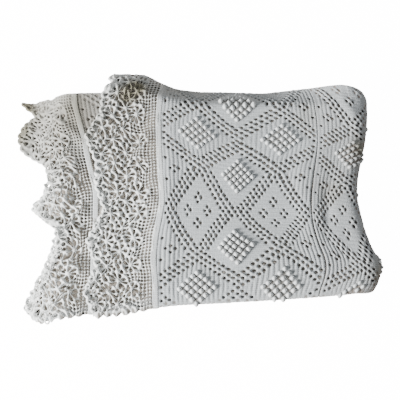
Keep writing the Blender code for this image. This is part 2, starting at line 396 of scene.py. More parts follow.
def crease_height(x, y):
    """How far the soft ridges raise the top of the stack."""
    total = np.zeros_like(x)
    for cx, cy, long, wide, turn, height in CREASES:
        c, sn = math.cos(math.radians(turn)), math.sin(math.radians(turn))
        u = (x - cx) * c + (y - cy) * sn
        v = (y - cy) * c - (x - cx) * sn
        total += height * np.exp(-((u / long) ** 2) - (v / wide) ** 2)
    return total


def place(s, y, h):
    """The point at distance s along the path, y across it and h above the reference face."""
    x, z, heading = reference(s)
    y, drop, angle = bend_flap(s, x, y)
    h = h * squeeze(s)
    near = edges_at(s)[0]
    x = x - h * np.cos(angle) * np.sin(heading)
    z = z + h * np.cos(angle) * np.cos(heading) - drop
    y = y + h * np.sin(angle)
    inside = np.clip((y - near) / NEAR_ROUND, 0, 1)
    rounding = NEAR_DROP * (1 - inside) ** 2
    z = UNDERSIDE + (z - UNDERSIDE) * (1 + crease_height(x, y) / STACK - rounding)
    x = x + follow(BOW, y) * np.clip(x / FOLD_X, 0, 1)
    return np.stack([x, y, np.maximum(z, UNDERSIDE)], axis=-1) - ORIGIN


# ---------------------------------------------------------------- faces of the visible plies

# The length of cloth that turns down at the closed end, the share of it past which eyelets are
# only dimples, and x along the cloth there
END_TURN = HALF_TURN * (OUTER_RADIUS + TOP_FACE)
CLOSED_TURN = 0.22
TURNED_X = FOLD_X + CLOSED_TURN * END_TURN


def end_distance(x):
    """Distance along the path of a point of the top ply, x along the cloth round the closed end."""
    along = (START_X, FOLD_X, FOLD_X + END_TURN, FOLD_X + END_TURN + RUN)
    fold, bottom = STARTS["outer fold"][0], STARTS["bottom run"][0]
    return np.interp(x, along, (0, fold, bottom, bottom + RUN))


def round_fold(near, y, lift):
    """Take the near side of a face round its fold. Returns y and the height above the face."""
    past = np.maximum(near + FOLD_REACH - y, 0)
    turn = np.minimum(past / FOLD_REACH, HALF_TURN)
    more = past - turn * FOLD_REACH
    reach = FOLD_REACH + lift
    round_y = near + FOLD_REACH - reach * np.sin(turn) + more
    above = np.where(past > 0, reach * np.cos(turn) - FOLD_REACH, lift)
    return np.where(past > 0, round_y, y), above


def top_ply(x, y, up):
    """A point of the top ply, x along the cloth, up above it."""
    s = end_distance(x)
    y, above = round_fold(edges_at(s)[0], y, up / squeeze(s))
    return place(s, y, TOP_FACE + above)


def second_ply(s, y, up):
    """A point of the second run's visible ply, s along the path, up above the cloth."""
    y, above = round_fold(edges_at(s)[0] + FOLDS[0][1], y, up / squeeze(s))
    return place(s, y, SECOND_FACE - above)


def upper_lace(away, y, up):
    """A point of the upper border, away from its heading line."""
    x = follow(UPPER_HEAD, y) - away
    near = edges_at(top_distance(x))[0]
    return top_ply(x, y, up + shells(away, y, near))


def upper_edges(away, y):
    """The near and far edge beside a point of the upper border."""
    return edges_at(top_distance(follow(UPPER_HEAD, y) - away))


def lower_lace(away, y, up):
    """A point of the lower border, away from its heading line."""
    s = second_distance(follow(LOWER_HEAD, y)) + away
    return second_ply(s, y, up + shells(away, y, edges_at(s)[0]))


def lower_edges(away, y):
    """The near and far edge beside a point of the lower border."""
    return edges_at(second_distance(follow(LOWER_HEAD, y)) + away)


# ---------------------------------------------------------------- the ground's squares

# Places of the squares' corners on the cloth. Columns are p, quarters of a square across the
# strip, and rows are q, quarters along it. Each place is x, y.
FIRST_COLUMNS = (-2, -1, 0, 1, 2)
FIRST_ROWS = (
    (4, (-0.058, 0.243), (0.000, 0.230), (0.067, 0.208), (0.140, 0.208), (0.196, 0.203)),
    (3, (-0.063, 0.172), (-0.002, 0.161), (0.067, 0.142), (0.143, 0.145), (0.2045, 0.137)),
    (2, (-0.067, 0.101), (-0.003, 0.091), (0.069, 0.078), (0.148, 0.080), (0.2135, 0.071)),
    (1, (-0.062, 0.029), (0.003, 0.023), (0.0735, 0.0125), (0.144, 0.0115), (0.2145, 0.010)),
    (0, (-0.059, -0.043), (-0.001, -0.047), (0.068, -0.049), (0.139, -0.052), (0.2065, -0.052)),
    (-1, (-0.070, -0.113), (-0.001, -0.112), (0.061, -0.110), (0.141, -0.101), (0.205, -0.108)),
    (-2, (-0.068, -0.1835), (-0.003, -0.1785), (0.067, -0.178), (0.1375, -0.177), (0.205, -0.176)),
    (-3, (-0.067, -0.254), (-0.003, -0.247), (0.067, -0.246), (0.138, -0.245), (0.205, -0.244)),
)
SECOND_COLUMNS = (2, 3, 4, 5, 6)
SECOND_ROWS = (
    (4, (0.197, 0.187), (0.262, 0.168), (0.327, 0.165), (0.392, 0.165), (0.457, 0.165)),
    (3, (0.205, 0.124), (0.270, 0.110), (0.335, 0.105), (0.400, 0.105), (0.465, 0.105)),
    (2, (0.2140, 0.060), (0.2775, 0.0515), (0.338, 0.045), (0.400, 0.045), (0.462, 0.045)),
    (1, (0.2150, 0.001), (0.275, -0.008), (0.335, -0.015), (0.395, -0.015), (0.455, -0.015)),
    (0, (0.2070, -0.058), (0.2620, -0.0655), (0.320, -0.072), (0.380, -0.075), (0.440, -0.075)),
    (-1, (0.2055, -0.122), (0.262, -0.130), (0.320, -0.136), (0.380, -0.138), (0.440, -0.138)),
    (-2, (0.2055, -0.187), (0.268, -0.194), (0.328, -0.198), (0.388, -0.200), (0.448, -0.200)),
    (-3, (0.2055, -0.252), (0.270, -0.258), (0.330, -0.262), (0.390, -0.264), (0.450, -0.264)),
)


def smooth_curve(knots, values, at):
    """A smooth curve through values at evenly spaced knots. values has a row for each knot."""
    knots = np.asarray(knots, float)
    slopes = np.gradient(values, knots, axis=0)
    i = np.clip(np.searchsorted(knots, at) - 1, 0, len(knots) - 2)
    step = knots[i + 1] - knots[i]
    t = (at - knots[i]) / step
    n = np.arange(len(at)) if values.shape[1] > 1 else np.zeros(len(at), int)
    low, high = values[i, n], values[i + 1, n]
    rise, fall = slopes[i, n] * step, slopes[i + 1, n] * step
    curve = (2 * t**3 - 3 * t**2 + 1) * low + (t**3 - 2 * t**2 + t) * rise
    return curve + (3 * t**2 - 2 * t**3) * high + (t**3 - t**2) * fall


class Strip:
    """One strip of the ground: where its squares lie on the cloth."""

    def __init__(self, columns, rows):
        self.columns = columns
        self.rows = rows[::-1]

    def cloth(self, p, q):
        """The place x, y on the cloth of p quarters across and q quarters along."""
        p, q = np.ravel(p), np.ravel(q)
        knots = [row[0] for row in self.rows]
        result = []
        for axis in (0, 1):
            columns = []
            for i in range(len(self.columns)):
                values = np.array([[row[1 + i][axis]] for row in self.rows])
                columns.append(smooth_curve(knots, values, q))
            result.append(smooth_curve(self.columns, np.array(columns), p))
        return result


# The second run's last strip, which shows between the two borders
BELOW_COLUMNS = (-2, -1, 0)
BELOW_ROWS = (
    (2, (-0.221, 0.196), (-0.156, 0.196), (-0.091, 0.190)),
    (1, (-0.209, 0.125), (-0.144, 0.125), (-0.079, 0.122)),
    (0, (-0.1845, 0.054), (-0.120, 0.054), (-0.055, 0.054)),
    (-1, (-0.173, -0.016), (-0.108, -0.016), (-0.043, -0.014)),
    (-2, (-0.172, -0.086), (-0.107, -0.086), (-0.042, -0.083)),
    (-3, (-0.174, -0.157), (-0.109, -0.157), (-0.044, -0.153)),
    (-4, (-0.176, -0.228), (-0.111, -0.228), (-0.046, -0.222)),
)

FIRST = Strip(FIRST_COLUMNS, FIRST_ROWS)
SECOND = Strip(SECOND_COLUMNS, SECOND_ROWS)
BELOW = Strip(BELOW_COLUMNS, BELOW_ROWS)

# A hole: its place, half its length and width, its turn, and how much it widens along its length
Hole = namedtuple("Hole", "p q along across turn taper")

# Stitches to a quarter of a square: rows of the work, and stitches along a row
ROWS, STITCHES = 9, 13
# An eyelet's half width and half length where rows run across the strip, in quarters
HOLE_WIDE, HOLE_LONG = 0.031, 0.039
# How far the groups of four eyelets stand from the middle of their diamond
FLOWER_ALONG, FLOWER_ACROSS = 0.275, 0.335
# The bobbles' places along and across their diamond, and where the diamond is turned
BOBBLE_STITCH, BOBBLE_ROW = 0.097, 0.101
BOBBLE_TURNED = (0.109, 0.094)
# Rows of the corners where squares meet
CORNER_ROWS = range(-4, 7, 2)
# How close two eyelets may lie, how unevenly they are worked, and how far out of place
EYELETS_APART = 0.055
UNEVEN = (0.84, 1.20)
ASTRAY = 0.007


def corners(low, high):
    """Corners where four squares meet: p, q and whether the rows there run along the strip."""
    for p in range(low, high + 1, 2):
        for q in CORNER_ROWS:
            yield p, q, q % 4 == 2


def lattice_holes(low, high):
    """Eyelets in the bands three wide along the squares' diagonals."""
    found = []
    for p, q, turned in corners(low, high):
        for row in range(-ROWS, ROWS + 1):
            for more in (0, 2, 4):
                for side in (-1, 1):
                    stitch = side * (abs(row) + more)
                    if turned:
                        found.append((p + row / ROWS, q + stitch / STITCHES, 1))
                    else:
                        found.append((p + stitch / STITCHES, q + row / ROWS, 0))
    return found


def flower_holes(low, high):
    """Four groups of four eyelets in every other diamond."""
    found = []
    for p, q, turned in corners(low, high):
        if p % 4 == 0 and not turned:
            found += flower_group(p + 1, q, False) + flower_group(p - 1, q, False)
    for p, q, turned in corners(low, high):
        if p % 4 == 2 and turned:
            found += flower_group(p, q - 1, True) + flower_group(p, q + 1, True)
    return found


def flower_group(p, q, turned):
    """Four groups of four eyelets round the middle of a diamond."""
    found = []
    for dp, dq in ((FLOWER_ALONG, 0), (-FLOWER_ALONG, 0), (0, FLOWER_ACROSS), (0, -FLOWER_ACROSS)):
        for i, j in ((1, 0), (-1, 0), (0, 1), (0, -1)):
            a, b = dp + i / STITCHES, dq + j / ROWS
            found.append((p + b, q + a, 1) if turned else (p + a, q + b, 0))
    return found


def worked(low, high, seed):
    """The eyelets between two columns of corners as a hand makes them, each one only once."""
    kept = []
    for eyelet in lattice_holes(low, high) + flower_holes(low, high):
        p, q, _turned = eyelet
        if all(abs(p - k[0]) > EYELETS_APART or abs(q - k[1]) > EYELETS_APART for k in kept):
            kept.append(eyelet)
    rng = np.random.default_rng(seed)
    result = []
    for p, q, turned in kept:
        wide, long = (HOLE_LONG, HOLE_WIDE) if turned else (HOLE_WIDE, HOLE_LONG)
        wide, long = np.array((wide, long)) * rng.uniform(*UNEVEN, 2)
        p, q = np.array((p, q)) + rng.normal(0, ASTRAY, 2)
        result.append(Hole(p, q, wide, long, 0, 0))
    return result


def in_turned_square(p, q):
    """From 0 to 1, whether a point is in a square whose rows run along the strip."""
    p = np.abs((p + 2) % 4 - 2)
    q = np.abs((q + 2) % 4 - 2)
    return np.clip((p + q - 2) * 8 + 0.5, 0, 1)


def bobble_places(low, high):
    """Centres of the bobbles: diamonds of twenty-five in every other diamond."""
    found = []
    for p, q, turned in corners(low, high):
        if turned and p % 4 == 2:
            centres = ((p - 1, q, True), (p + 1, q, True))
        elif not turned and p % 4 == 0:
            centres = ((p, q - 1, False), (p, q + 1, False))
        else:
            continue
        for cp, cq, sideways in centres:
            step_p, step_q = BOBBLE_TURNED if sideways else (BOBBLE_STITCH, BOBBLE_ROW)
            for j in range(-4, 5):
                for i in range(-(4 - abs(j)), 5 - abs(j), 2):
                    found.append((cp + i * step_p, cq + j * step_q))
    return found


# ---------------------------------------------------------------- making meshes


# Where the cotton has yellowed and gathered dust, and where painted shade darkens it: x, y, reach,
# amount
# The far-left corner of the lower border is partly real yellowing and partly painted shade; the two
# patches at the closed end are painted brown shade
GRIME_AND_SHADE = (
    (-0.102, 0.184, 0.021, 1.5),
    (-0.120, 0.167, 0.014, 0.9),
    (-0.040, 0.205, 0.030, 0.35),
    (0.010, 0.205, 0.030, 0.35),
    (-0.315, 0.175, 0.018, 1.1),
    (-0.300, 0.160, 0.035, 0.45),
    (-0.325, 0.108, 0.032, 0.65),
    (-0.318, 0.128, 0.014, 0.7),
    (-0.250, 0.125, 0.085, 0.42),
    (-0.200, 0.120, 0.040, 0.35),
    (-0.205, 0.170, 0.040, 0.50),
    (0.235, -0.010, 0.022, 0.35),
    (0.290, 0.070, 0.020, 0.8),
    (0.320, -0.150, 0.022, 0.6),
    (0.200, 0.130, 0.025, 0.35),
    (-0.090, 0.080, 0.040, 0.2),
)


def grime_and_shade_at(points):
    """How much grime and painted shade the cotton has at points, from 0 to 1."""
    total = np.zeros(len(points))
    for x, y, reach, amount in GRIME_AND_SHADE:
        total += amount * fade(np.hypot(points[:, 0] - x, points[:, 1] - y), reach)
    return np.clip(total, 0, 1)


def make_object(name, points, faces, material, fields=(), uv=None):
    """A smooth mesh with named values on its points."""
    mesh = bpy.data.meshes.new(name)
    mesh.from_pydata(points, [], faces)
    mesh.materials.append(material)
    # Every piece carries the mask of grime and painted shade
    fields = (*fields, ("grime_and_shade", grime_and_shade_at(np.asarray(points))))
    for field, values in fields:
        layer = mesh.attributes.new(field, "FLOAT", "POINT")
        layer.data.foreach_set("value", np.asarray(values, np.float32))
    if uv is not None:
        loops = np.empty(len(mesh.loops), np.int32)
        mesh.loops.foreach_get("vertex_index", loops)
        layer = mesh.uv_layers.new(name="Cloth")
        layer.data.foreach_set("uv", np.asarray(uv, np.float32)[loops].ravel())
    mesh.shade_smooth()
    mesh.validate()
    piece = bpy.data.objects.new(name, mesh)
    bpy.context.scene.collection.objects.link(piece)
    return piece


def grid_faces(rows, columns, closed=False):
    """Faces of a grid whose points run along its columns first."""
    a = np.arange(rows * columns).reshape(rows, columns)
    if closed:
        a = np.concatenate([a, a[:, :1]], axis=1)
    return np.stack([a[:-1, :-1], a[1:, :-1], a[1:, 1:], a[:-1, 1:]], axis=-1).reshape(-1, 4)


def hole_distance(p, q, hole):
    """Distance from a hole's centre, where 1 is its rim. Holes may widen along their length."""
    c, s = math.cos(hole.turn), math.sin(hole.turn)
    dp, dq = p - hole.p, q - hole.q
    along = (dp * c + dq * s) / hole.along
    across = (dq * c - dp * s) / hole.across
    return np.hypot(along, across / np.clip(1 + hole.taper * along, 0.35, 2))


# Close to the near edge and within this of the far edge, holes are only dimples
NEAR_CLOSED, FAR_CLOSED = 0.0055, 0.026
# How far the cloth round a hole is worked over, and how far holes crowd it, in half widths
HOLE_REACH = 3.4
CROWD_REACH = 2.6
# A distance from every hole, where there is none
FAR_AWAY = 9.0
# Points nearer to a hole's middle than this stay off its rim
LEAST_RIM = 0.2
# How deep a dimple is, and how dark its painted shade is
DIMPLE, DIMPLE_SHADE = 0.0010, 0.9
# How far down a visible ply's far edge goes, where its cloth is free
FAR_EDGE = 0.0030
# The relief flattens over this distance towards an edge, to this share
EDGE_FLAT, EDGE_SHARE = 0.010, 0.3


def near_holes(p, q, holes, dimples):
    """What a grid's points and faces have to do with the holes.

    Returns each point's distance from its nearest hole, how crowded it is, that hole's number, and
    the faces to cut.
    """
    near_hole = np.full(p.shape, FAR_AWAY)
    crowd = np.zeros(p.shape)
    which = np.full(p.shape, -1)
    centre_p = (p[:-1, :-1] + p[1:, 1:]) / 2
    centre_q = (q[:-1, :-1] + q[1:, 1:]) / 2
    cut = np.zeros(centre_p.shape, bool)
    step_p, step_q = p[1, 0] - p[0, 0], q[0, 1] - q[0, 0]
    for n, hole in enumerate(holes):
        i = int(round((hole.p - p[0, 0]) / step_p))
        j = int(round((hole.q - q[0, 0]) / step_q))
        longest = max(hole.along, hole.across)
        far_p, far_q = (longest, longest) if hole.turn else (hole.along, hole.across)
        ri, rj = int(HOLE_REACH * far_p / step_p) + 2, int(HOLE_REACH * far_q / step_q) + 2
        if i + ri < 0 or j + rj < 0 or i - ri >= p.shape[0] or j - rj >= p.shape[1]:
            continue
        window = (slice(max(i - ri, 0), i + ri + 1), slice(max(j - rj, 0), j + rj + 1))
        distance = hole_distance(p[window], q[window], hole)
        crowd[window] += fade(distance, CROWD_REACH)
        closer = distance < near_hole[window]
        near_hole[window] = np.where(closer, distance, near_hole[window])
        which[window] = np.where(closer, n, which[window])
        if not dimples[n]:
            cut[window] |= hole_distance(centre_p[window], centre_q[window], hole) < 1
    return near_hole, crowd, which, cut


def openwork(name, chart, across, along, holes, relief, surface, material, limit=None, edges=None):
    """A ply with real holes. relief gives height and shade from p, q and the holes nearby.

    limit is the most p at q. edges gives the near and far edge where the cloth's x and y are given,
    and holes close to them are only dimples.
    """
    p, q = np.meshgrid(across, along, indexing="ij")
    middles = np.array([(hole.p, hole.q) for hole in holes])
    dimples = np.zeros(len(holes), bool)
    if edges is not None:
        x, y = chart(*middles.T)
        near, far = edges(x, y)
        dimples = (y < near + NEAR_CLOSED) | (y > far - FAR_CLOSED) | (x > TURNED_X)
    near_hole, crowd, which, cut = near_holes(p, q, holes, dimples)

    # The points round a cut face move onto its hole's rim
    touched = np.zeros(p.shape, bool)
    for di, dj in ((0, 0), (0, 1), (1, 0), (1, 1)):
        touched[di : di + cut.shape[0], dj : dj + cut.shape[1]] |= cut
    rim = touched & (which >= 0) & (near_hole > LEAST_RIM)
    middle_p, middle_q = middles[which[rim]].T
    scale = 1 / near_hole[rim]
    p[rim] = middle_p + (p[rim] - middle_p) * scale
    q[rim] = middle_q + (q[rim] - middle_q) * scale
    near_hole[rim] = 1
    if limit is not None:
        most = limit(q)
        beyond = p >= most
        p = np.minimum(p, most)
        cut |= beyond[:-1, :-1] & beyond[:-1, 1:]

    height, shade = relief(p, q, near_hole, crowd)
    shade = np.where(near_hole < 0.95, np.maximum(shade, DIMPLE_SHADE), shade)
    height = (height - DIMPLE * np.clip(1 - near_hole, 0, 1)).ravel()
    x, y = chart(p, q)
    if edges is not None:
        near, far = edges(x, y)
        height = height * np.clip(np.minimum(y - near, far - y) / EDGE_FLAT, EDGE_SHARE, 1)
        over = np.maximum(y - far, 0)
        height -= np.minimum(over, FAR_EDGE)
        beyond = (over >= FAR_EDGE).reshape(p.shape)
        y = np.minimum(y, far)
        cut |= beyond[:-1, :-1] & beyond[1:, :-1]
    points = surface(x, y, height)
    faces = grid_faces(*p.shape)[~cut.ravel()]
    used, faces = np.unique(faces, return_inverse=True)
    faces = faces.reshape(-1, 4)
    fields = (("shade", shade.ravel()[used]),)
    uv = np.stack([x, y], axis=1)[used]
    return make_object(name, points[used], faces[:, ::-1], material, fields, uv)


# Sides of a cord, and how far above the cloth its way up is read
CORD_SIDES = 8
READ_ABOVE = 0.001
# Rings and sides of a knob, how round it is, and the power that makes its outline a little square
KNOB_RINGS, KNOB_SIDES = 6, 12
KNOB_ROUND = 0.62
KNOB_SQUARE = 1.4
# A knob starts this share of its height under the cloth, and its foot has the most painted shade
KNOB_FOOT, FOOT_SHADE = -0.3, 0.95


def cord_rings(centre, up, radius):
    """Rings of points round a line of centres, with the way up from the cloth at each."""
    tangent = np.gradient(centre, axis=0)
    side = np.cross(tangent, up)
    side /= np.linalg.norm(side, axis=1, keepdims=True) + 1e-12
    rise = np.cross(side, tangent)
    rise /= np.linalg.norm(rise, axis=1, keepdims=True) + 1e-12
    turn = np.linspace(0, 2 * math.pi, CORD_SIDES, endpoint=False)
    c, s = np.cos(turn)[:, None], np.sin(turn)[:, None]
    return centre[:, None] + radius * (side[:, None] * c + rise[:, None] * s)


class Yarn:
    """Collects the cords and knobs of one piece, in the cloth's own coordinates."""

    def __init__(self, surface):
        self.surface = surface
        self.points, self.faces, self.shades, self.count = [], [], [], 0

    def cord(self, away, y, up, radius):
        """A round cord along a line on the cloth."""
        centre = self.surface(away, y, up)
        above = self.surface(away, y, up + READ_ABOVE)
        centre[:, 2] = np.maximum(centre[:, 2], radius)
        ring = cord_rings(centre, above - centre, radius)
        length = len(centre)
        self.faces += (grid_faces(length, CORD_SIDES, closed=True) + self.count).tolist()
        first = np.arange(CORD_SIDES) + self.count
        last = first[::-1] + (length - 1) * CORD_SIDES
        self.faces += [first.tolist(), last.tolist()]
        self.points.append(ring.reshape(-1, 3))
        self.shades.append(np.zeros(length * CORD_SIDES))
        self.count += length * CORD_SIDES

    def knobs(self, away, y, up, wide, high):
        """Rounded knobs at places on the cloth."""
        n = len(away)
        part = np.linspace(KNOB_FOOT, 1, KNOB_RINGS + 1)[:-1]
        turn = np.linspace(0, 2 * math.pi, KNOB_SIDES, endpoint=False)
        pointed = 1 - KNOB_ROUND
        reach = KNOB_ROUND * np.cos(part * math.pi / 2) + pointed * np.minimum(1 - part, 1)
        corner = np.abs(np.cos(turn)) ** KNOB_SQUARE + np.abs(np.sin(turn)) ** KNOB_SQUARE
        corner = corner ** (-1 / KNOB_SQUARE)
        dx = (reach[:, None] * corner * np.cos(turn)).ravel()
        dy = (reach[:, None] * corner * np.sin(turn)).ravel()
        rise = KNOB_ROUND * np.sin(part * math.pi / 2) + pointed * part
        shades = np.clip(FOOT_SHADE - 2.4 * part, 0, FOOT_SHADE)
        dz, shades = (np.repeat(v, KNOB_SIDES) for v in (rise, shades))
        ends = ((dx, 0), (dy, 0), (dz, 1), (shades, 0))
        dx, dy, dz, shades = (np.append(v, top) for v, top in ends)
        a = away[:, None] + wide[:, None] * dx
        b = y[:, None] + wide[:, None] * dy
        c = up[:, None] + high[:, None] * dz
        self.points.append(self.surface(a.ravel(), b.ravel(), c.ravel()))
        self.shades.append(np.tile(shades, n))
        faces = grid_faces(KNOB_RINGS, KNOB_SIDES, closed=True)[:, ::-1].tolist()
        top = KNOB_RINGS * KNOB_SIDES
        start = top - KNOB_SIDES
        faces += [(start + k, start + (k + 1) % KNOB_SIDES, top) for k in range(KNOB_SIDES)]
        faces.append(tuple(range(KNOB_SIDES))[::-1])
        for k in range(n):
            shift = self.count + k * (top + 1)
            self.faces += [tuple(shift + v for v in face) for face in faces]
        self.count += n * (top + 1)

    def build(self, name, material):
        """The piece's object."""
        points = np.concatenate(self.points)
        fields = (("shade", np.concatenate(self.shades)),)
        return make_object(name, points, self.faces, material, fields)


# ---------------------------------------------------------------- finishes


# Small stitches of the plain ground, across it and along it
STITCH_WIDE, STITCH_HIGH = 0.0029, 0.0034
# How far the yarn stands up for the light
YARN_RELIEF, YARN_STRENGTH = 0.0008, 0.35

# The cotton's roughness and sheen
ROUGH, SHEEN = 0.88, 0.15

# Each cotton: its lit colour and its deep colour of painted shade among the finishes, whether rows of
# small stitches show on it, and how many turns its yarn has to a metre
COTTONS = {
    "ground cotton": ("ground", "hollow", True, 420),
    "closed end cotton": ("ground", "end", True, 420),
    "heading cotton": ("heading", "hollow", True, 420),
    "bobble cotton": ("bobble", "under_bobble", False, 420),
    "lace cotton": ("lace", "lace_hollow", False, 520),
    "under ply cotton": ("ground", "under", False, 420),
    "under lace cotton": ("ground", "under_lace", False, 420),
}


def settings():
    """The panel's sizes and colours."""
    return bpy.context.scene.bedspread_looks


def add_node(tree, kind, values=(), **choices):
    """A shader node with its choices and the values of its inputs."""
    node = tree.nodes.new("ShaderNode" + kind)
    for choice, value in choices.items():
        setattr(node, choice, value)
    for socket, value in dict(values).items():
        node.inputs[socket].default_value = value
    return node


def mixed(tree, factor, first, second):
    """The output of a node that mixes two colours."""
    node = add_node(tree, "Mix", data_type="RGBA")
    for source, socket in ((factor, "Factor"), (first, "A"), (second, "B")):
        tree.links.new(source, node.inputs[socket])
    return node.outputs["Result"]


def crochet_group():
    """Soft unevenness of hand-worked cotton, with painted shade: a colour, and a height for its yarn.
    """
    name = "crochet cotton"
    if name in bpy.data.node_groups:
        return bpy.data.node_groups[name]
    tree = bpy.data.node_groups.new(name, "ShaderNodeTree")
    for direction, socket, kind in (
        ("INPUT", "Lit", "Color"),
        ("INPUT", "Deep", "Color"),
        ("INPUT", "Grime and shade colour", "Color"),
        ("INPUT", "Shade", "Float"),
        ("INPUT", "Soiled and shaded", "Float"),
        ("INPUT", "Stitch size", "Float"),
        ("INPUT", "Cloth", "Vector"),
        ("OUTPUT", "Colour", "Color"),
        ("OUTPUT", "Height", "Float"),
    ):
        tree.interface.new_socket(socket, in_out=direction, socket_type="NodeSocket" + kind)
    link = tree.links.new
    given = tree.nodes.new("NodeGroupInput").outputs
    out = tree.nodes.new("NodeGroupOutput").inputs
    spot = add_node(tree, "TexCoord").outputs["Object"]

    # Yellowing and dust with painted shade where the grime mask is set, and faint blotches everywhere
    blotches = add_node(tree, "TexNoise", {"Scale": 9, "Detail": 4})
    faint = add_node(tree, "MapRange", {"From Min": 0.35, "From Max": 0.75, "To Max": 0.12})
    grime_shade_and_blotches = add_node(tree, "Math", {1: 0.85}, operation="MULTIPLY_ADD", use_clamp=True)
    link(spot, blotches.inputs["Vector"])
    link(blotches.outputs["Fac"], faint.inputs["Value"])
    link(given["Soiled and shaded"], grime_shade_and_blotches.inputs[0])
    link(faint.outputs["Result"], grime_shade_and_blotches.inputs[2])
    grimed_and_shaded = mixed(tree, grime_shade_and_blotches.outputs["Value"], given["Lit"], given["Grime and shade colour"])
    # Painted shade: the colour goes towards the deep colour where the shade attribute is set
    shaded = mixed(tree, given["Shade"], grimed_and_shaded, given["Deep"])

    # Rows of small stitches, with painted shade between them
    size = (1 / STITCH_WIDE, 1 / STITCH_HIGH, 0)
    counted = add_node(tree, "VectorMath", {1: size}, operation="MULTIPLY")
    dots = add_node(tree, "TexVoronoi", voronoi_dimensions="2D")
    dots.inputs["Scale"].default_value = 1
    dots.inputs["Randomness"].default_value = 0.25
    dark = {"From Min": 0.10, "From Max": 0.45, "To Min": 0.55, "To Max": 0}
    between = add_node(tree, "MapRange", dark)
    link(given["Cloth"], counted.inputs[0])
    link(counted.outputs["Vector"], dots.inputs["Vector"])
    link(dots.outputs["Distance"], between.inputs["Value"])
    link(mixed(tree, between.outputs["Result"], shaded, given["Deep"]), out["Colour"])

    # The yarn's own turns and fuzz
    turns = add_node(tree, "TexVoronoi")
    fuzz = add_node(tree, "TexNoise", {"Scale": 900})
    total = add_node(tree, "Math", {1: -0.8}, operation="MULTIPLY_ADD")
    link(spot, turns.inputs["Vector"])
    link(given["Stitch size"], turns.inputs["Scale"])
    link(spot, fuzz.inputs["Vector"])
    link(turns.outputs["Distance"], total.inputs[0])
    link(fuzz.outputs["Fac"], total.inputs[2])
    link(total.outputs["Value"], out["Height"])
    return tree


def cotton(name):
    """One of the cottons, with painted shade where its points are shaded, and yellowed or painted
    darker where the grime and shade mask is set.
    """
    if name in bpy.data.materials:
        return bpy.data.materials[name]
    lit, deep, woven, turns = COTTONS[name]
    look = settings().finish
    material = bpy.data.materials.new(name)
    material.use_nodes = True
    tree = material.node_tree
    shader = tree.nodes["Principled BSDF"]
    shader.inputs["Roughness"].default_value = ROUGH
    shader.inputs["Sheen Weight"].default_value = SHEEN
    group = tree.nodes.new("ShaderNodeGroup")
    group.node_tree = crochet_group()
    for socket, colour in (("Lit", lit), ("Deep", deep), ("Grime and shade colour", "grime_and_shade")):
        group.inputs[socket].default_value = (*getattr(look, colour), 1)
    group.inputs["Stitch size"].default_value = turns
    group.inputs["Cloth"].default_value = (STITCH_WIDE / 2, STITCH_HIGH / 2, 0)
    if woven:
        cloth = add_node(tree, "UVMap", uv_map="Cloth")
        tree.links.new(cloth.outputs["UV"], group.inputs["Cloth"])
    for field, socket in (("shade", "Shade"), ("grime_and_shade", "Soiled and shaded")):
        value = add_node(tree, "Attribute", attribute_name=field)
        tree.links.new(value.outputs["Fac"], group.inputs[socket])
    relief = add_node(tree, "Bump", {"Strength": YARN_STRENGTH, "Distance": YARN_RELIEF})
    tree.links.new(group.outputs["Height"], relief.inputs["Height"])
    tree.links.new(group.outputs["Colour"], shader.inputs["Base Color"])
    tree.links.new(relief.outputs["Normal"], shader.inputs["Normal"])
    return material


# ---------------------------------------------------------------- pieces


# The ground's relief. Where rows run along the strip, ribs stand between grooves. Elsewhere the rows
# are low waves.
RIB, GROOVE, ROW_WAVE = 0.0005, 0.0017, 0.00030
# How wide a groove is, as a part of a rib, and how the hand lets the ribs sway: how far, and how
# fast along and across the strip
GROOVE_PART = 0.17
SWAYS = ((0.007, 5.1, 1.3), (0.003, 13.0, 2.0))
# How deep the grooves are worked along the strip: q, share
GROOVE_ROWS = ((-2, 0.85), (0, 0.75), (2, 0.5), (3, 0.6))
# Bands of eyelets: half their width in quarters, and how much plainer their ground is
BAND, BAND_PLAIN = 0.26, 0.85
# The cloth puffs up among crowded eyelets and sinks at every eyelet's lip. The puff's middle and
# width and the lip's width are in the eyelet's half widths.
PUFF, PUFF_AT, PUFF_WIDE = 0.0021, 2.3, 0.75
LIP, EYELET_LIP = 0.0011, 0.34
# The seam between the first two strips, at this column, and the plain edging beside it
SEAM, SEAM_AT, SEAM_WIDE = 0.0016, 2, 0.015
EDGING_FROM, EDGING_TO, EDGING_PLAIN = 2.02, 2.15, 0.8
# How much painted shade darkens grooves, lips, bobbles' ground and the seam, and all of them together
GROOVE_SHADE, LIP_SHADE, BOBBLE_SHADE, SEAM_SHADE = 0.50, 0.50, 0.8, 0.55
GROUND_SHADE = 0.74
# How many stitches from its middle a diamond of bobbles ends
DIAMOND = 4.4

# Where the closed end falls into shade: y, share of the turn
END_SHADE = (
    (0.200, 0.42),
    (0.130, 0.31),
    (0.050, 0.31),
    (0.010, 0.37),
    (-0.030, 0.44),
    (-0.100, 0.43),
    (-0.130, 0.33),
    (-0.180, 0.28),
)
# How far the closed end swells at its shoulder, over what share of the turn it falls into shade,
# and how dark it gets
SHOULDER = 0.0050
END_OVER, END_DARK = 0.05, 0.45
# Its relief flattens from this share of the turn back to where it starts, over this share
END_FLAT_AT, END_FLAT_OVER, END_FLAT_LEAST = 0.45, 0.35, 0.1
# How much painted shade darkens the band between the borders, and how dark it can get
BELOW_DARK, BELOW_MOST = 0.50, 0.8


def finish_piece(piece, nodes=()):
    """Say which body a piece belongs to, and hide the nodes that it stands for."""
    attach(piece, "root")
    if nodes:
        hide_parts(*nodes)
    return piece


def diagonal_distance(v):
    """How far v is from an even number."""
    v = v % 2
    return np.minimum(v, 2 - v)


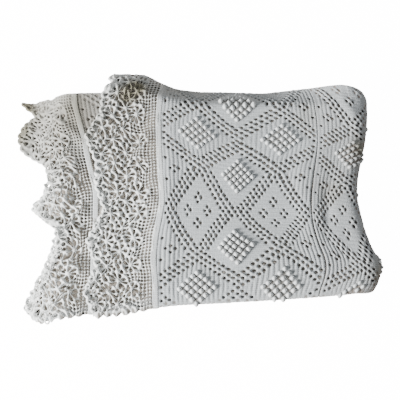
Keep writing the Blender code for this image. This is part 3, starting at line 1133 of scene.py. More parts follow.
def bobble_ground(p, q):
    """Whether the ground there is between bobbles, from 0 to 1."""
    upright_p, upright_q = np.abs((p + 2) % 4 - 2), np.abs(q % 2 - 1)
    turned_p, turned_q = np.abs(p % 2 - 1), np.abs(q % 4 - 2)
    upright = upright_p / BOBBLE_STITCH + upright_q / BOBBLE_ROW
    turned = turned_p / BOBBLE_TURNED[0] + turned_q / BOBBLE_TURNED[1]
    return np.clip(DIAMOND - np.minimum(upright, turned), 0, 1)


def shoulder(turned):
    """How far the closed end swells, as turned goes from 0 at its start to 1 where it lies."""
    return SHOULDER * np.sin(np.clip(turned * 2, 0, 1) * math.pi) ** 2


def ground_relief(p, q, near_hole, crowd):
    """Height above the cloth and shade, from ribs, puffs between eyelets, and eyelet lips."""
    turned = in_turned_square(p, q)
    sway = sum(far * np.sin(fast_q * q + fast_p * p) for far, fast_q, fast_p in SWAYS)
    wave = ((p + sway) * ROWS) % 1
    groove = fade(np.minimum(wave, 1 - wave), GROOVE_PART)
    groove *= np.interp(q, *zip(*GROOVE_ROWS))
    rows_wave = 0.5 - 0.5 * np.cos(2 * math.pi * q * ROWS)
    height = turned * (RIB - GROOVE * groove) - (1 - turned) * ROW_WAVE * rows_wave
    line = np.minimum(diagonal_distance(p + q), diagonal_distance(p - q))
    plain = 1 - BAND_PLAIN * ramp(line, BAND, -1 / 12)
    lip = fade(near_hole - 1.0, EYELET_LIP)
    puff = fade(near_hole - PUFF_AT, PUFF_WIDE) * ramp(crowd, 1.0, 0.6)
    height = height * plain + PUFF * puff - LIP * lip
    shade = GROOVE_SHADE * turned * groove * plain + LIP_SHADE * lip**2
    shade += BOBBLE_SHADE * bobble_ground(p, q)
    seam = fade(p - SEAM_AT, SEAM_WIDE)
    edging = ramp(p, EDGING_FROM, 1 / 60) * ramp(p, EDGING_TO, -1 / 60) * ramp(q, 0.1, 0.25)
    height = height * (1 - EDGING_PLAIN * edging) - SEAM * seam
    shade = shade * (1 - EDGING_PLAIN * edging) + SEAM_SHADE * seam
    return height, np.clip(GROUND_SHADE * shade, 0, 1)


def end_relief(p, q, near_hole, crowd):
    """The second strip's relief, flatter and deeper in shade where it turns under."""
    height, shade = ground_relief(p, q, near_hole, crowd)
    x, y = (v.reshape(p.shape) for v in SECOND.cloth(p, q))
    turned = (x - FOLD_X) / END_TURN
    under = ramp(turned, follow(END_SHADE, y), END_OVER)
    flat = np.maximum(ramp(turned, END_FLAT_AT, -END_FLAT_OVER), END_FLAT_LEAST)
    return height * flat + shoulder(turned), np.clip(shade + END_DARK * under, 0, 1)


def below_relief(p, q, near_hole, crowd):
    """The relief of the band between the borders, in shade."""
    height, shade = ground_relief(p, q, near_hole, crowd)
    return height, np.clip(shade + BELOW_DARK, 0, BELOW_MOST)


class LOOKS_Sizes(PropertyGroup):
    """Sizes of the worked parts"""

    wheel_radius: FloatProperty(
        name="Wheel radius",
        description="Radius of a lace wheel",
        default=0.0152,
        unit="LENGTH",
    )
    wheel_spacing: FloatProperty(
        name="Wheel spacing",
        description="Distance between lace wheels in a column",
        default=0.0440,
        unit="LENGTH",
    )
    petals: IntProperty(name="Petals", description="Petals to a lace wheel", default=8)
    bobble: FloatProperty(
        name="Bobble",
        description="Diameter of a bobble",
        default=0.0101,
        unit="LENGTH",
    )
    filet: FloatProperty(
        name="Mesh pitch",
        description="Pitch of the square mesh beside the headings",
        default=0.0056,
        unit="LENGTH",
    )


class LOOKS_Finish(PropertyGroup):
    """Colours of the cottons, and of their painted shade"""

    ground: FloatVectorProperty(
        name="Ground",
        description="Colour of the ground's cotton",
        subtype="COLOR",
        default=(0.552, 0.592, 0.617),
    )
    lace: FloatVectorProperty(
        name="Lace",
        description="Colour of the lace's cotton",
        subtype="COLOR",
        default=(0.85, 0.875, 0.865),
    )
    # Yellowed and dusty cotton; the same colour also paints shade at the far-left corner and brown
    # shade at the closed end
    grime_and_shade: FloatVectorProperty(
        name="Soiled cotton",
        description="Colour of yellowed and dusty cotton",
        subtype="COLOR",
        default=(0.175, 0.158, 0.085),
    )
    # Painted shade of the ground and headings: grooves, eyelet lips, seam, bobbles' ground and the gaps
    # between stitches
    hollow: FloatVectorProperty(
        name="Hollows",
        description="Colour of grooves and of the lips of eyelets",
        subtype="COLOR",
        default=(0.20, 0.18, 0.155),
    )
    # Painted shade of the lace: lips of its holes, between its petals, and its dimmed far parts
    lace_hollow: FloatVectorProperty(
        name="Lace hollows",
        description="Colour between the lace's knots",
        subtype="COLOR",
        default=(0.13, 0.115, 0.095),
    )
    # Painted brown shade in the hollows and on the underside of the closed end
    end: FloatVectorProperty(
        name="Closed end",
        description="Colour of the hollows and the underside at the closed end",
        subtype="COLOR",
        default=(0.20, 0.150, 0.112),
    )
    heading: FloatVectorProperty(
        name="Headings",
        description="Colour of the plain bands beside the lace",
        subtype="COLOR",
        default=(0.66, 0.695, 0.71),
    )
    bobble: FloatVectorProperty(
        name="Bobbles",
        description="Colour of the bobbles",
        subtype="COLOR",
        default=(0.79, 0.82, 0.83),
    )
    # Painted shade at the bobbles' feet
    under_bobble: FloatVectorProperty(
        name="Between bobbles",
        description="Colour of the bobbles' feet",
        subtype="COLOR",
        default=(0.17, 0.155, 0.14),
    )
    # Painted shade: the under plies are the ground's cotton, turned to this colour away from their
    # edges
    under: FloatVectorProperty(
        name="Under plies",
        description="Colour of the plies seen through the openwork",
        subtype="COLOR",
        default=(0.44, 0.40, 0.35),
    )
    # Painted shade: the plies under the lace are the ground's cotton, turned to this colour away from
    # their edges
    under_lace: FloatVectorProperty(
        name="Plies under the lace",
        description="Colour of the plies seen through the lace",
        subtype="COLOR",
        default=(0.32, 0.285, 0.24),
    )


class LOOKS_Settings(PropertyGroup):
    """All that the panel shows"""

    sizes: PointerProperty(type=LOOKS_Sizes)
    finish: PointerProperty(type=LOOKS_Finish)


# Points of the ground lie this far apart, in quarters of a square
PITCH = 1 / 48
# Bobbles' heights as a share of their radius, and how unevenly they are worked and placed
BOBBLE_HIGH = 1.06
BOBBLE_UNEVEN = (0.94, 1.04)
BOBBLE_ASTRAY = 0.00025
# Bobbles stay this far inside the far edge, and this share of the way round the closed end
BOBBLE_MARGIN = 0.009
BOBBLE_TURN = 0.80
# x past which bobbles are at the closed end, how much smaller they are there, and how far from the
# near edge they stay there, where the others may pass it by as much
END_SIDE, END_SMALLER, NEAR_MARGIN = 0.25, 0.12, 0.003
# How far above the cloth a bobble's foot is, and how flat the bobbles half-way round the turn lie
BOBBLE_SEAT = 0.0004
PRESSED_OVER, PRESSED_LEAST = 0.17, 0.28

# Each heading: its name, lowest and highest y, and how far its ridge stands up
HEADINGS = (
    ("heading_top", -0.226, 0.212, 0.0010),
    ("heading_second", -0.231, 0.174, 0.0019),
)
# Points across a heading, and how far apart they lie along it
HEADING_POINTS, HEADING_PITCH = 13, 0.0012
# The ridge rises over this share of the heading and falls over that
RIDGE_RISE, RIDGE_FALL = 0.16, 0.4
# How far a heading laps over the ground and over the lace
GROUND_LAP, LACE_LAP = 0.0022, 0.0016
# Its seam: place and width as shares of the heading, and depth. Its stitches: height and length
HEADING_SEAM, HEADING_SEAM_WIDE, HEADING_SEAM_DEEP = 0.66, 0.07, 0.0004
HEADING_STITCH, HEADING_STITCH_LONG = 0.00025, 0.0032


def spaced(low, high):
    """Columns or rows of points of the ground from low to high."""
    return np.linspace(low, high, int(round((high - low) / PITCH)) + 1)


class LOOKS_OT_ground(Operator):
    """Make the visible openwork of the top ply, in two strips"""

    bl_idname = "looks.ground"
    bl_label = "Ground"

    def execute(self, context):
        piece = openwork(
            "ground_first",
            FIRST.cloth,
            spaced(-2, 2),
            spaced(-2.75, 4.3),
            [hole for hole in worked(-2, 2, 3) if -1.95 < hole.p < 1.95],
            ground_relief,
            top_ply,
            cotton("ground cotton"),
            edges=self.first_edges,
        )
        finish_piece(piece)
        piece = openwork(
            "ground_second",
            SECOND.cloth,
            spaced(2, 5.2),
            spaced(-2.35, 4.5),
            [hole for hole in worked(2, 6, 4) if 2.05 < hole.p],
            end_relief,
            top_ply,
            cotton("closed end cotton"),
            self.second_limit,
            self.second_edges,
        )
        finish_piece(piece)
        return {"FINISHED"}

    @staticmethod
    def first_edges(x, y):
        """The near and far edge of the first strip."""
        return edges_at(top_distance(np.minimum(x, FOLD_X)))

    @staticmethod
    def second_edges(x, y):
        """The near and far edge of the second strip."""
        return edges_at(end_distance(x))

    @staticmethod
    def second_limit(q):
        """Where the second strip has turned under altogether."""
        p, rows = np.meshgrid(np.linspace(3.2, 5.2, 12), np.linspace(-3, 4.6, 60), indexing="ij")
        x = SECOND.cloth(p, rows)[0].reshape(p.shape)
        ends = [np.interp(FOLD_X + END_TURN, x[:, k], p[:, k]) for k in range(x.shape[1])]
        return np.interp(q, rows[0], ends)


class LOOKS_OT_below(Operator):
    """Make the part of the second run that shows between the borders"""

    bl_idname = "looks.below"
    bl_label = "Second run"

    def execute(self, context):
        piece = openwork(
            "ground_below",
            BELOW.cloth,
            spaced(-1.99, -1.2),
            spaced(-3.9, 1.7),
            [hole for hole in worked(-2, 0, 6) if -1.95 < hole.p],
            below_relief,
            lambda x, y, up: second_ply(second_distance(x), y, up),
            cotton("ground cotton"),
            edges=lambda x, y: edges_at(second_distance(x)),
        )
        finish_piece(piece)
        return {"FINISHED"}


class LOOKS_OT_headings(Operator):
    """Make the plain bands that join the ground to the lace"""

    bl_idname = "looks.headings"
    bl_label = "Headings"

    def execute(self, context):
        across = np.linspace(-GROUND_LAP, HEADING_WIDTH + LACE_LAP, HEADING_POINTS)
        wide = across[-1] - across[0]
        for (name, low, high, ridge), surface in zip(HEADINGS, (upper_lace, lower_lace)):
            away, y = np.meshgrid(across, np.arange(low, high, HEADING_PITCH))
            part = (away - across[0]) / wide
            rise = ridge * np.minimum(1, part / RIDGE_RISE)
            rise *= np.minimum(1, (1 - part) / RIDGE_FALL) ** 0.5
            seam = fade(part - HEADING_SEAM, HEADING_SEAM_WIDE)
            rise -= HEADING_SEAM_DEEP * seam
            rise += HEADING_STITCH * np.sin(2 * math.pi * y / HEADING_STITCH_LONG)
            points = surface(away.ravel(), y.ravel(), rise.ravel())
            # Painted shade along the heading's seam and at both its edges
            shade = 0.20 * seam + 0.4 * (part < 0.13) + 0.3 * (part > 0.95)
            fields = (("shade", shade.ravel()),)
            uv = np.stack([away.ravel(), y.ravel()], axis=1)
            faces = grid_faces(*away.shape)
            piece = make_object(name, points, faces, cotton("heading cotton"), fields, uv)
            finish_piece(piece)
        return {"FINISHED"}


class LOOKS_OT_bobbles(Operator):
    """Make the diamonds of bobbles on the ground"""

    bl_idname = "looks.bobbles"
    bl_label = "Bobbles"

    def execute(self, context):
        size = settings().sizes.bobble / 2
        yarn = Yarn(top_ply)
        rng = np.random.default_rng(5)
        for strip, low, high, first, last in ((FIRST, -2, 2, -2, 2), (SECOND, 2, 6, 2, 5.2)):
            p, q = np.array([c for c in bobble_places(low, high) if first < c[0] < last]).T
            x, y = strip.cloth(p, q)
            near, far = edges_at(end_distance(x))
            past = np.where(x < END_SIDE, NEAR_MARGIN, -NEAR_MARGIN)
            kept = (y > near - past) & (y < far - BOBBLE_MARGIN)
            kept &= x < FOLD_X + BOBBLE_TURN * END_TURN
            x, y = x[kept], y[kept]
            astray = rng.normal(0, BOBBLE_ASTRAY, (2, len(x)))
            wide = size * rng.uniform(*BOBBLE_UNEVEN, len(x)) * (1 - END_SMALLER * (x > END_SIDE))
            turned = (x - FOLD_X) / END_TURN
            up = BOBBLE_SEAT + shoulder(turned)
            pressed = np.clip(np.abs(turned - 0.5) / PRESSED_OVER, PRESSED_LEAST, 1)
            tall = BOBBLE_HIGH * wide * pressed
            yarn.knobs(x + astray[0], y + astray[1], up, wide, tall)
        piece = yarn.build("bobbles", cotton("bobble cotton"))
        finish_piece(piece)
        return {"FINISHED"}


# ---------------------------------------------------------------- the lace

# A border's edge is in shells: their length, how deep and how full they are, and how far the edge
# goes in for them
SHELL_LONG, SHELL_DEEP, SHELL_FULL, SHELL_BACK = 0.0140, 0.0040, 0.8, 0.0022
# The shells on a border's near side: length, swell, how far the cloth goes in, and reach from it
SIDE_LONG, SIDE_SWELL, SIDE_BACK, SIDE_REACH = 0.0150, 0.0038, 0.0008, 0.009
# How much the pattern is drawn out where it hangs on the far flap
FLAP_STRETCH = 1.5
# The pattern is held true beside the heading and at its edge, and pulled freely this far inside:
# how far across and along, and how fast that changes along and across
HELD, HELD_OVER = 0.010, 0.020
PULL_ACROSS, PULL_ALONG = (0.0023, 103, 70), (0.0027, 57, 121)

# Columns of wheels: their spacing as a share of the wheels', and how far inside the edge they end
COLUMN_SHARE, WHEEL_MARGIN = 0.46, 0.35
# How far wheels lie out of place across and along the border, and how unevenly large they are
WHEEL_ASTRAY = (0.0014, 0.0020)
WHEEL_UNEVEN = (0.90, 1.08)
# A slot's middle, half length and half width as shares of the wheel's radius, and its taper
SLOT_REACH, SLOT_LONG, SLOT_WIDE = (0.55, 0.61), (0.28, 0.335), (0.130, 0.180)
SLOT_TAPER = 0.40
LEAST_SLOT = 0.0015
# The most that a hole takes of its place, the part of a wheel's ring that its slots take, and
# the width of the strands between two wheels
MOST_OPEN = 0.97
SLOT_SHARE = 0.76
STRAND = 0.0012
# The mesh beside the heading: its columns, those that the wheels may cover, and its holes
MESH_COLUMNS, MESH_WHOLE = 8, 3
MESH_HALF = 0.0024
# How far the mesh's columns and rows bend, and how fast that changes
COLUMN_BENDS, ROW_BEND = ((0.0010, 46), (0.0006, 131)), (0.0012, 160)
# Openings between wheels: how finely places are tried, how far apart the openings lie, how far
# inside the edge they end, their least and most half width, and how far out any can lie
GAP_STEP, GAPS_APART, GAP_MARGIN = 0.0017, 0.0076, 0.0085
GAP_LEAST, GAP_MOST = 0.0017, 0.0036
LACE_END = 0.175
# The eyelets along the edge: how far inside it they lie, and their half length and half width
EDGE_EYELET, EDGE_EYELET_LONG, EDGE_EYELET_WIDE = 0.0058, 0.0016, 0.0010

# The relief: hubs, petals, the rings round wheels and their ridges, puffs, the raised line along
# the edge, and the fall outside it
HUB, PETAL, RING, RING_RIDGE = 0.0012, 0.0013, 0.0012, 0.0022
LACE_PUFF, EDGE_CORD, EDGE_FALL = 0.0019, 0.0008, 0.0014
# How wide the lip of a hole in the lace is, in its half widths
LACE_LIP = 0.35
# The number and height of waves over all of it, and the height of its fine knots
WAVES, WAVE, KNOT = 7, 0.00042, 0.00022
# The mesh is flatter than the wheels, as a share
MESH_FLAT = 0.45

# Points of the visible lace lie this far apart, and those of the edges of lower plies
LACE_PITCH, EDGE_PITCH = 0.00085, 0.0014
# The cord along an edge: radius, and how far inside and below the edge it lies
CORD, CORD_IN, CORD_DOWN = 0.0017, 0.0010, 0.0006
CORD_PITCH = 0.0012
# The edge of a lower ply's lace: its width, its eyelets' spacing, and how far inside it they lie
PLY_EDGE, PLY_EYELETS, PLY_EYELET_IN = 0.0140, 0.0062, 0.0078

Wheel = namedtuple("Wheel", "away y size turn petals")


def upper_width(y):
    """How wide the upper border is."""
    return follow(UPPER_HEAD, y) - follow(UPPER_TIPS, y, soften=0.003)


def lower_width(y):
    """How wide the lower border is, along the cloth."""
    head = second_distance(follow(LOWER_HEAD, y))
    return second_distance(follow(LOWER_TIPS, y, soften=0.003)) - head


def shelled(tips_at, low, high):
    """A border's edge in shells: returns a function of y, and the shells' middles."""
    y = np.linspace(low - 0.02, high + 0.02, 1500)
    tips = tips_at(y)
    length = np.concatenate([[0], np.cumsum(np.hypot(np.diff(y), np.diff(tips)))])
    swell = np.abs(np.sin(math.pi * length / SHELL_LONG)) ** SHELL_FULL
    edge = tips + SHELL_DEEP * swell - SHELL_BACK
    middles = np.interp(np.arange(0.5, length[-1] / SHELL_LONG) * SHELL_LONG, length, y)
    return (lambda at: np.interp(at, y, edge)), middles


class Lace:
    """A border's pattern on its cloth: wheels, what joins them, and mesh beside the heading.

    width_at gives the border's width at y, and the pattern goes from low to high, drawn out past
    flap. loose says how unevenly it is worked. openness, dim and raised give how open it is, how
    shaded, and how high its relief stands.
    """

    def __init__(self, width_at, low, high, flap, spacing, seed, loose, openness, dim, raised):
        sizes = settings().sizes
        self.flap, self.loose = flap, loose
        self.low, self.high = low, flap + (high - flap) / FLAP_STRETCH
        self.openness, self.dim, self.raised = openness, dim, raised
        self.rng = rng = np.random.default_rng(seed)
        self.mesh_end = HEADING_WIDTH + 4 * sizes.filet
        self.edge, middles = shelled(lambda q: width_at(self.across(q)), low, self.high)
        self.wheels = self.wheels_in_rows(sizes, spacing)
        self.holes = []
        self.mesh(sizes.filet)
        self.slots()
        self.gaps(HEADING_WIDTH + 4.2 * sizes.filet)
        for y in middles:
            away, turn = self.edge(y) - EDGE_EYELET, rng.normal(0, 0.4)
            self.add(away, y, EDGE_EYELET_LONG, EDGE_EYELET_WIDE, turn, 0)
        steep = rng.uniform(60, 190, (WAVES, 1)) * rng.choice((-1, 1), (WAVES, 1))
        self.waves = np.hstack([steep, rng.uniform(60, 190, (WAVES, 1)), rng.uniform(0, 6, (WAVES, 1))])

    def across(self, q):
        """How far across the cloth the pattern's q is, stretched past the flap's bend."""
        return q + (FLAP_STRETCH - 1) * np.maximum(q - self.flap, 0)

    def cloth(self, p, q):
        """The pattern on the cloth, pulled out of true away from its two edges."""
        inside = np.minimum(p - HEADING_WIDTH - HELD, self.edge(q) - p)
        pull = np.clip(inside / HELD_OVER, 0, 1) * self.loose
        far, fast_q, fast_p = PULL_ACROSS
        away = p + far * pull * np.sin(fast_q * q + fast_p * p)
        far, fast_q, fast_p = PULL_ALONG
        across = self.across(q) + far * pull * np.sin(fast_p * p + fast_q * q + 1)
        return away.ravel(), across.ravel()

    def wheels_in_rows(self, sizes, spacing):
        """Columns of wheels, each half a step on from the last, as a hand works them."""
        rng, radius = self.rng, sizes.wheel_radius
        wheels = []
        for column in range(9):
            start = self.mesh_end + radius * 0.86 + column * (spacing * COLUMN_SHARE)
            for y in np.arange(self.low, self.high, spacing) + (spacing / 2 if column % 2 else 0):
                if start < self.edge(y) - WHEEL_MARGIN * radius:
                    away = start + rng.normal(0, WHEEL_ASTRAY[0] * self.loose)
                    y += rng.normal(0, WHEEL_ASTRAY[1] * self.loose)
                    size = radius * rng.uniform(*WHEEL_UNEVEN)
                    petals = sizes.petals + int(rng.integers(-1, 2))
                    wheels.append(Wheel(away, y, size, rng.uniform(0, 2 * math.pi), petals))
        return wheels

    def outside(self, p, q):
        """How far outside the nearest wheel's rim a place is, in metres."""
        return min(math.hypot(p - w.away, q - w.y) - w.size for w in self.wheels)

    def add(self, p, q, along, across, turn, keep=0.0030, taper=0.0):
        """A hole, where it fits inside the border and keeps this far from its edge."""
        around = q + max(keep, along) * np.array((-1, 0, 1))
        if p + max(keep, along) < self.edge(around).min() and self.low < q < self.high:
            share = min(self.openness(p, q), MOST_OPEN)
            self.holes.append(Hole(p, q, along * share, across * share, turn, taper))

    def mesh(self, pitch):
        """The square mesh, in columns that bend a little, as far as the wheels leave room."""
        for column in range(MESH_COLUMNS):
            p = HEADING_WIDTH + (column + 0.5) * pitch
            for q in np.arange(self.low, self.high, pitch):
                if column >= MESH_WHOLE and self.outside(p, q) < 0.0005:
                    continue
                half = MESH_HALF * self.rng.uniform(0.88, 1.02, 2)
                bend_p = sum(far * math.sin(q * fast) for far, fast in COLUMN_BENDS)
                bend_q = ROW_BEND[0] * math.sin(p * ROW_BEND[1])
                self.add(p + bend_p, q + bend_q, *half, 0.01)
        self.mesh_holes = len(self.holes)

    def slots(self):
        """The slots between each wheel's petals."""
        rng = self.rng
        for wheel in self.wheels:
            away, y, size, turn, petals = wheel
            for k in range(petals):
                angle = turn + 2 * math.pi * k / petals + rng.normal(0, 0.07 * self.loose)
                reach = size * rng.uniform(*SLOT_REACH)
                long = size * rng.uniform(*SLOT_LONG)
                wide = size * rng.uniform(*SLOT_WIDE) * 9 / petals
                outer = self.room(wheel, angle, reach + long)
                inner = reach - long
                reach, long = (outer + inner) / 2, (outer - inner) / 2
                if long > LEAST_SLOT:
                    p, q = away + math.cos(angle) * reach, y + math.sin(angle) * reach
                    wide = min(wide, SLOT_SHARE * math.pi * reach / petals)
                    self.add(p, q, long, wide, angle, 0.0045, SLOT_TAPER)

    def room(self, wheel, angle, outer):
        """How far out a slot reaches, short of the parts that belong to the wheels around."""
        for other in self.wheels:
            dp, dq = other.away - wheel.away, other.y - wheel.y
            apart = math.hypot(dq, dp)
            if 0 < apart < wheel.size + other.size:
                facing = (dp * math.cos(angle) + dq * math.sin(angle)) / apart
                if facing > 0.05:
                    half_way = apart * wheel.size / (wheel.size + other.size) - STRAND / 2
                    outer = min(outer, half_way / facing)
        return outer

    def gaps(self, first):
        """Wide openings where the wheels leave room, the roomiest places first."""
        rng = self.rng
        found = []
        for p in np.arange(first, LACE_END, GAP_STEP):
            for q in np.arange(self.low, self.high, GAP_STEP):
                if p < self.edge(q) - GAP_MARGIN:
                    out = self.outside(p, q)
                    if out > -0.0012:
                        found.append((-out + rng.uniform(0, 0.0006), p, q))
        places = [hole[:2] for hole in self.holes[: self.mesh_holes]]
        for out, p, q in sorted(found):
            if all(math.hypot(p - a, q - b) > GAPS_APART for a, b in places):
                places.append((p, q))
                half = np.clip(0.0027 - 0.4 * out, GAP_LEAST, GAP_MOST) * rng.uniform(0.75, 1.1, 2)
                self.add(p, q, *half, rng.uniform(0.1, 3), 0.0055)

    def relief(self, p, q, near_hole, crowd):
        """Height and shade: hubs, petals, puffs and the lips of holes."""
        nearest = np.full(p.shape, 3.0)
        ridge = np.zeros(p.shape)
        for away, y, size, turn, petals in self.wheels:
            r = np.hypot(p - away, q - y) / size
            angle = np.arctan2(q - y, p - away) - turn
            ridge = np.where(r < nearest, 0.5 - 0.5 * np.cos(petals * angle), ridge)
            nearest = np.minimum(nearest, r)
        hub = HUB * np.exp(-((nearest / 0.24) ** 4))
        petal = ramp(nearest, 0.22, 1 / 6) * ramp(nearest, 0.90, -1 / 8) * ridge
        ring = fade(nearest - 0.99, 0.15)
        height = hub + PETAL * petal + ring * (RING + RING_RIDGE * ridge)
        lip = fade(near_hole - 1, LACE_LIP)
        height += LACE_PUFF * ramp(near_hole, 1.0, 1.3) ** 0.8 - LIP * lip
        height *= MESH_FLAT + (1 - MESH_FLAT) * ramp(p, self.mesh_end - 0.002, 0.006)
        inside = self.edge(q) - p
        height += EDGE_CORD * fade(inside - 0.0030, 0.0018)
        height -= EDGE_FALL * np.exp(-inside / 0.0012)
        for a, b, phase in self.waves:
            height += WAVE * self.loose * np.sin(a * p + b * q + phase)
        height += KNOT * np.sin(q * 2100 + 2 * np.sin(p * 700)) * np.sin(p * 1500)
        shade = (0.50 + 0.45 * (p < self.mesh_end)) * lip**2
        shade += 0.08 * np.clip(1 - nearest / 0.9, 0, 1) * (1 - ridge) + self.dim(q)
        return height * ramp(p, 0, 0.006) * self.raised(q), np.clip(shade, 0, 1)


def add_edging(yarn, lace, short, level):
    """A cord in shells along the edge of one of a border's plies."""
    q = np.arange(lace.low, lace.high, CORD_PITCH)
    yarn.cord(lace.edge(q) - CORD_IN - short, lace.across(q), level - CORD_DOWN, CORD)


def ply_edge(name, lace, surface, short, level):
    """A lower ply's lace, near its edge only."""
    across = np.arange(0, PLY_EDGE, EDGE_PITCH)
    along_y = np.arange(lace.low, lace.high, EDGE_PITCH)
    holes = []
    for q in np.arange(lace.low, lace.high, PLY_EYELETS):
        half = 0.0016 * lace.rng.uniform(0.8, 1.2, 2)
        holes.append(Hole(PLY_EDGE - PLY_EYELET_IN, q, *half, 0.01, 0))

    def chart(p, q):
        return (lace.edge(q) - short - PLY_EDGE + p).ravel(), np.ravel(lace.across(q))

    def relief(p, q, near_hole, crowd):
        lip = fade(near_hole - 1, LACE_LIP)
        rise = 0.0004 * np.clip(near_hole - 1.1, 0, 1) - 0.0006 * lip
        # Painted shade over all of a lower ply's edge, more at the lips of its eyelets
        return rise + level + 0.0003, 0.30 + 0.40 * lip**2

    return openwork(name, chart, across, along_y, holes, relief, surface, cotton("lace cotton"))


def shells(away, y, near):
    """How far a border's near side swells out in shells, beyond its heading."""
    swell = SIDE_SWELL * np.abs(np.sin(math.pi * away / SIDE_LONG)) ** SHELL_FULL - SIDE_BACK
    return swell * fade(y - near, SIDE_REACH) * ramp(away, 0.012, 0.01)


def add_lace(name, lace, surface, short_by, edges):
    """A border's visible lace, its edging, and the edges of the plies under it."""
    reach = float(lace.edge(np.linspace(lace.low, lace.high, 900)).max())
    piece = openwork(
        name,
        lace.cloth,
        np.arange(-0.0004, reach + LACE_PITCH, LACE_PITCH),
        np.arange(lace.low, lace.high, LACE_PITCH),
        lace.holes,
        lace.relief,
        surface,
        cotton("lace cotton"),
        lace.edge,
        edges,
    )
    finish_piece(piece)
    length = float(lace.across(lace.high)) - lace.low
    levels = [(short, -PLY * LACE_SQUEEZE * (n + 1)) for n, short in enumerate(short_by)]
    yarn = Yarn(surface)
    for short, level in ((0.0, 0.0), *levels):
        add_edging(yarn, lace, short, level)
    finish_piece(yarn.build(name + "_edging", cotton("lace cotton")))
    for n, (short, level) in enumerate(levels):
        edge = ply_edge(f"{name}_ply_{n + 1}", lace, surface, short, level)
        finish_piece(edge)


def upper_openness(p, q):
    """How open the upper border is worked, as a share."""
    return 0.93 + 0.12 * math.sin(q * 21 + 0.4)


def upper_dim(q):
    """How shaded the upper border is: more on its far flap."""
    return 0.17 * ramp(q, 0.06, 0.08) * ramp(q, 0.180, -0.020)


def upper_raised(q):
    """How high the upper border's relief stands, as a share."""
    return 1.0


def lower_openness(p, q):
    """How open the lower border is worked, as a share: closer at its far corner."""
    ends = 0.06 * ramp(q, -0.09, -0.06) - 0.32 * ramp(q, 0.03, 0.06)
    return 0.92 + ends + 0.08 * math.sin(q * 60 + p * 45)


def lower_dim(q):
    """How shaded the lower border is: more at its far corner."""
    return 0.02 + 0.35 * ramp(q, -0.02, 0.09) - 0.02 * ramp(q, 0, -0.1)


def lower_raised(q):
    """How high the lower border's relief stands, as a share: flatter at its far corner."""
    return 1.3 - 0.6 * ramp(q, 0.02, 0.06)


class LOOKS_OT_upper_lace(Operator):
    """Make the visible lace of the top run's border"""

    bl_idname = "looks.upper_lace"
    bl_label = "Upper lace"

    def execute(self, context):
        lace = Lace(
            upper_width,
            low=-0.228,
            high=0.238,
            flap=0.172,
            spacing=settings().sizes.wheel_spacing,
            seed=11,
            loose=1.0,
            openness=upper_openness,
            dim=upper_dim,
            raised=upper_raised,
        )
        short_by = SHORT_BY[2:0:-1]
        add_lace("lace_upper", lace, upper_lace, short_by, upper_edges)
        return {"FINISHED"}


class LOOKS_OT_lower_lace(Operator):
    """Make the visible lace of the second run's border"""

    bl_idname = "looks.lower_lace"
    bl_label = "Lower lace"

    def execute(self, context):
        lace = Lace(
            lower_width,
            low=-0.230,
            high=0.174,
            flap=0.174,
            spacing=settings().sizes.wheel_spacing * 0.92,
            seed=23,
            loose=1.6,
            openness=lower_openness,
            dim=lower_dim,
            raised=lower_raised,
        )
        short_by = SHORT_BY[1:]
        add_lace("lace_lower", lace, lower_lace, short_by, lower_edges)
        return {"FINISHED"}


# ---------------------------------------------------------------- plies under the visible ones


# Where each ply has points across its width, as shares of it, and the steps round a fold
SHARES = (0.012, 0.03, 0.06, 0.1, *np.linspace(0.16, 0.84, 9), 0.9, 0.94, 0.97, 0.988)
FOLD_STEPS = 5
# How far from an edge the plies fall into shade, and over what distance
SHADE_FROM, SHADE_OVER = 0.004, 0.010
# Points along the folded cloth lie this far apart, in the ground and in the lace
UNDER_PITCH, UNDER_LACE_PITCH = 0.005, 0.006
# The plies under a border stop this far short of its lace, and stay this far inside its near edge
UNDER_BACK, UNDER_INSET = 0.0028, 0.005
# Up to this x on the second run, its visible ply is made as openwork
BARE_X = -0.135


def under_section(plies):
    """The section of some of the plies as a closed band.

    Its points are a share of the width, a shift in y and a height.
    """
    centre = []
    for ply in plies:
        level = (ply + 0.5) * PLY
        way = 0 if ply % 2 else math.pi
        if ply == 0:
            centre.append((1, -FREE_SHORT[0], level, 0))
        centre += [(share, 0, level, way) for share in (SHARES if ply % 2 else SHARES[::-1])]
        if ply == PLIES - 1:
            centre.append((1, -FREE_SHORT[1], level, 0))
        elif ply == plies[-1]:
            centre.append((0, FOLD_REACH + 0.001, level, math.pi))
        else:
            centre += fold_points(ply, level)
    half = []
    for offset in (SHEET / 2, -SHEET / 2):
        line = []
        for share, shift, height, way in centre:
            line.append((share, shift - offset * math.sin(way), height + offset * math.cos(way)))
        half.append(line)
    return np.array(half[0] + half[1][::-1])


def fold_points(ply, level):
    """The middle line round the fold from a ply to the one above it."""
    side, short = FOLDS[ply]
    near = side == "near"
    points = []
    for step in range(FOLD_STEPS + 1):
        turn = math.pi * step / FOLD_STEPS
        shift = short + FOLD_REACH - PLY / 2 * math.sin(turn)
        rise = PLY / 2 * (1 - math.cos(turn))
        if near:
            points.append((0, shift, level + rise, math.pi - turn))
        else:
            points.append((1, -shift, level + rise, turn))
    return points


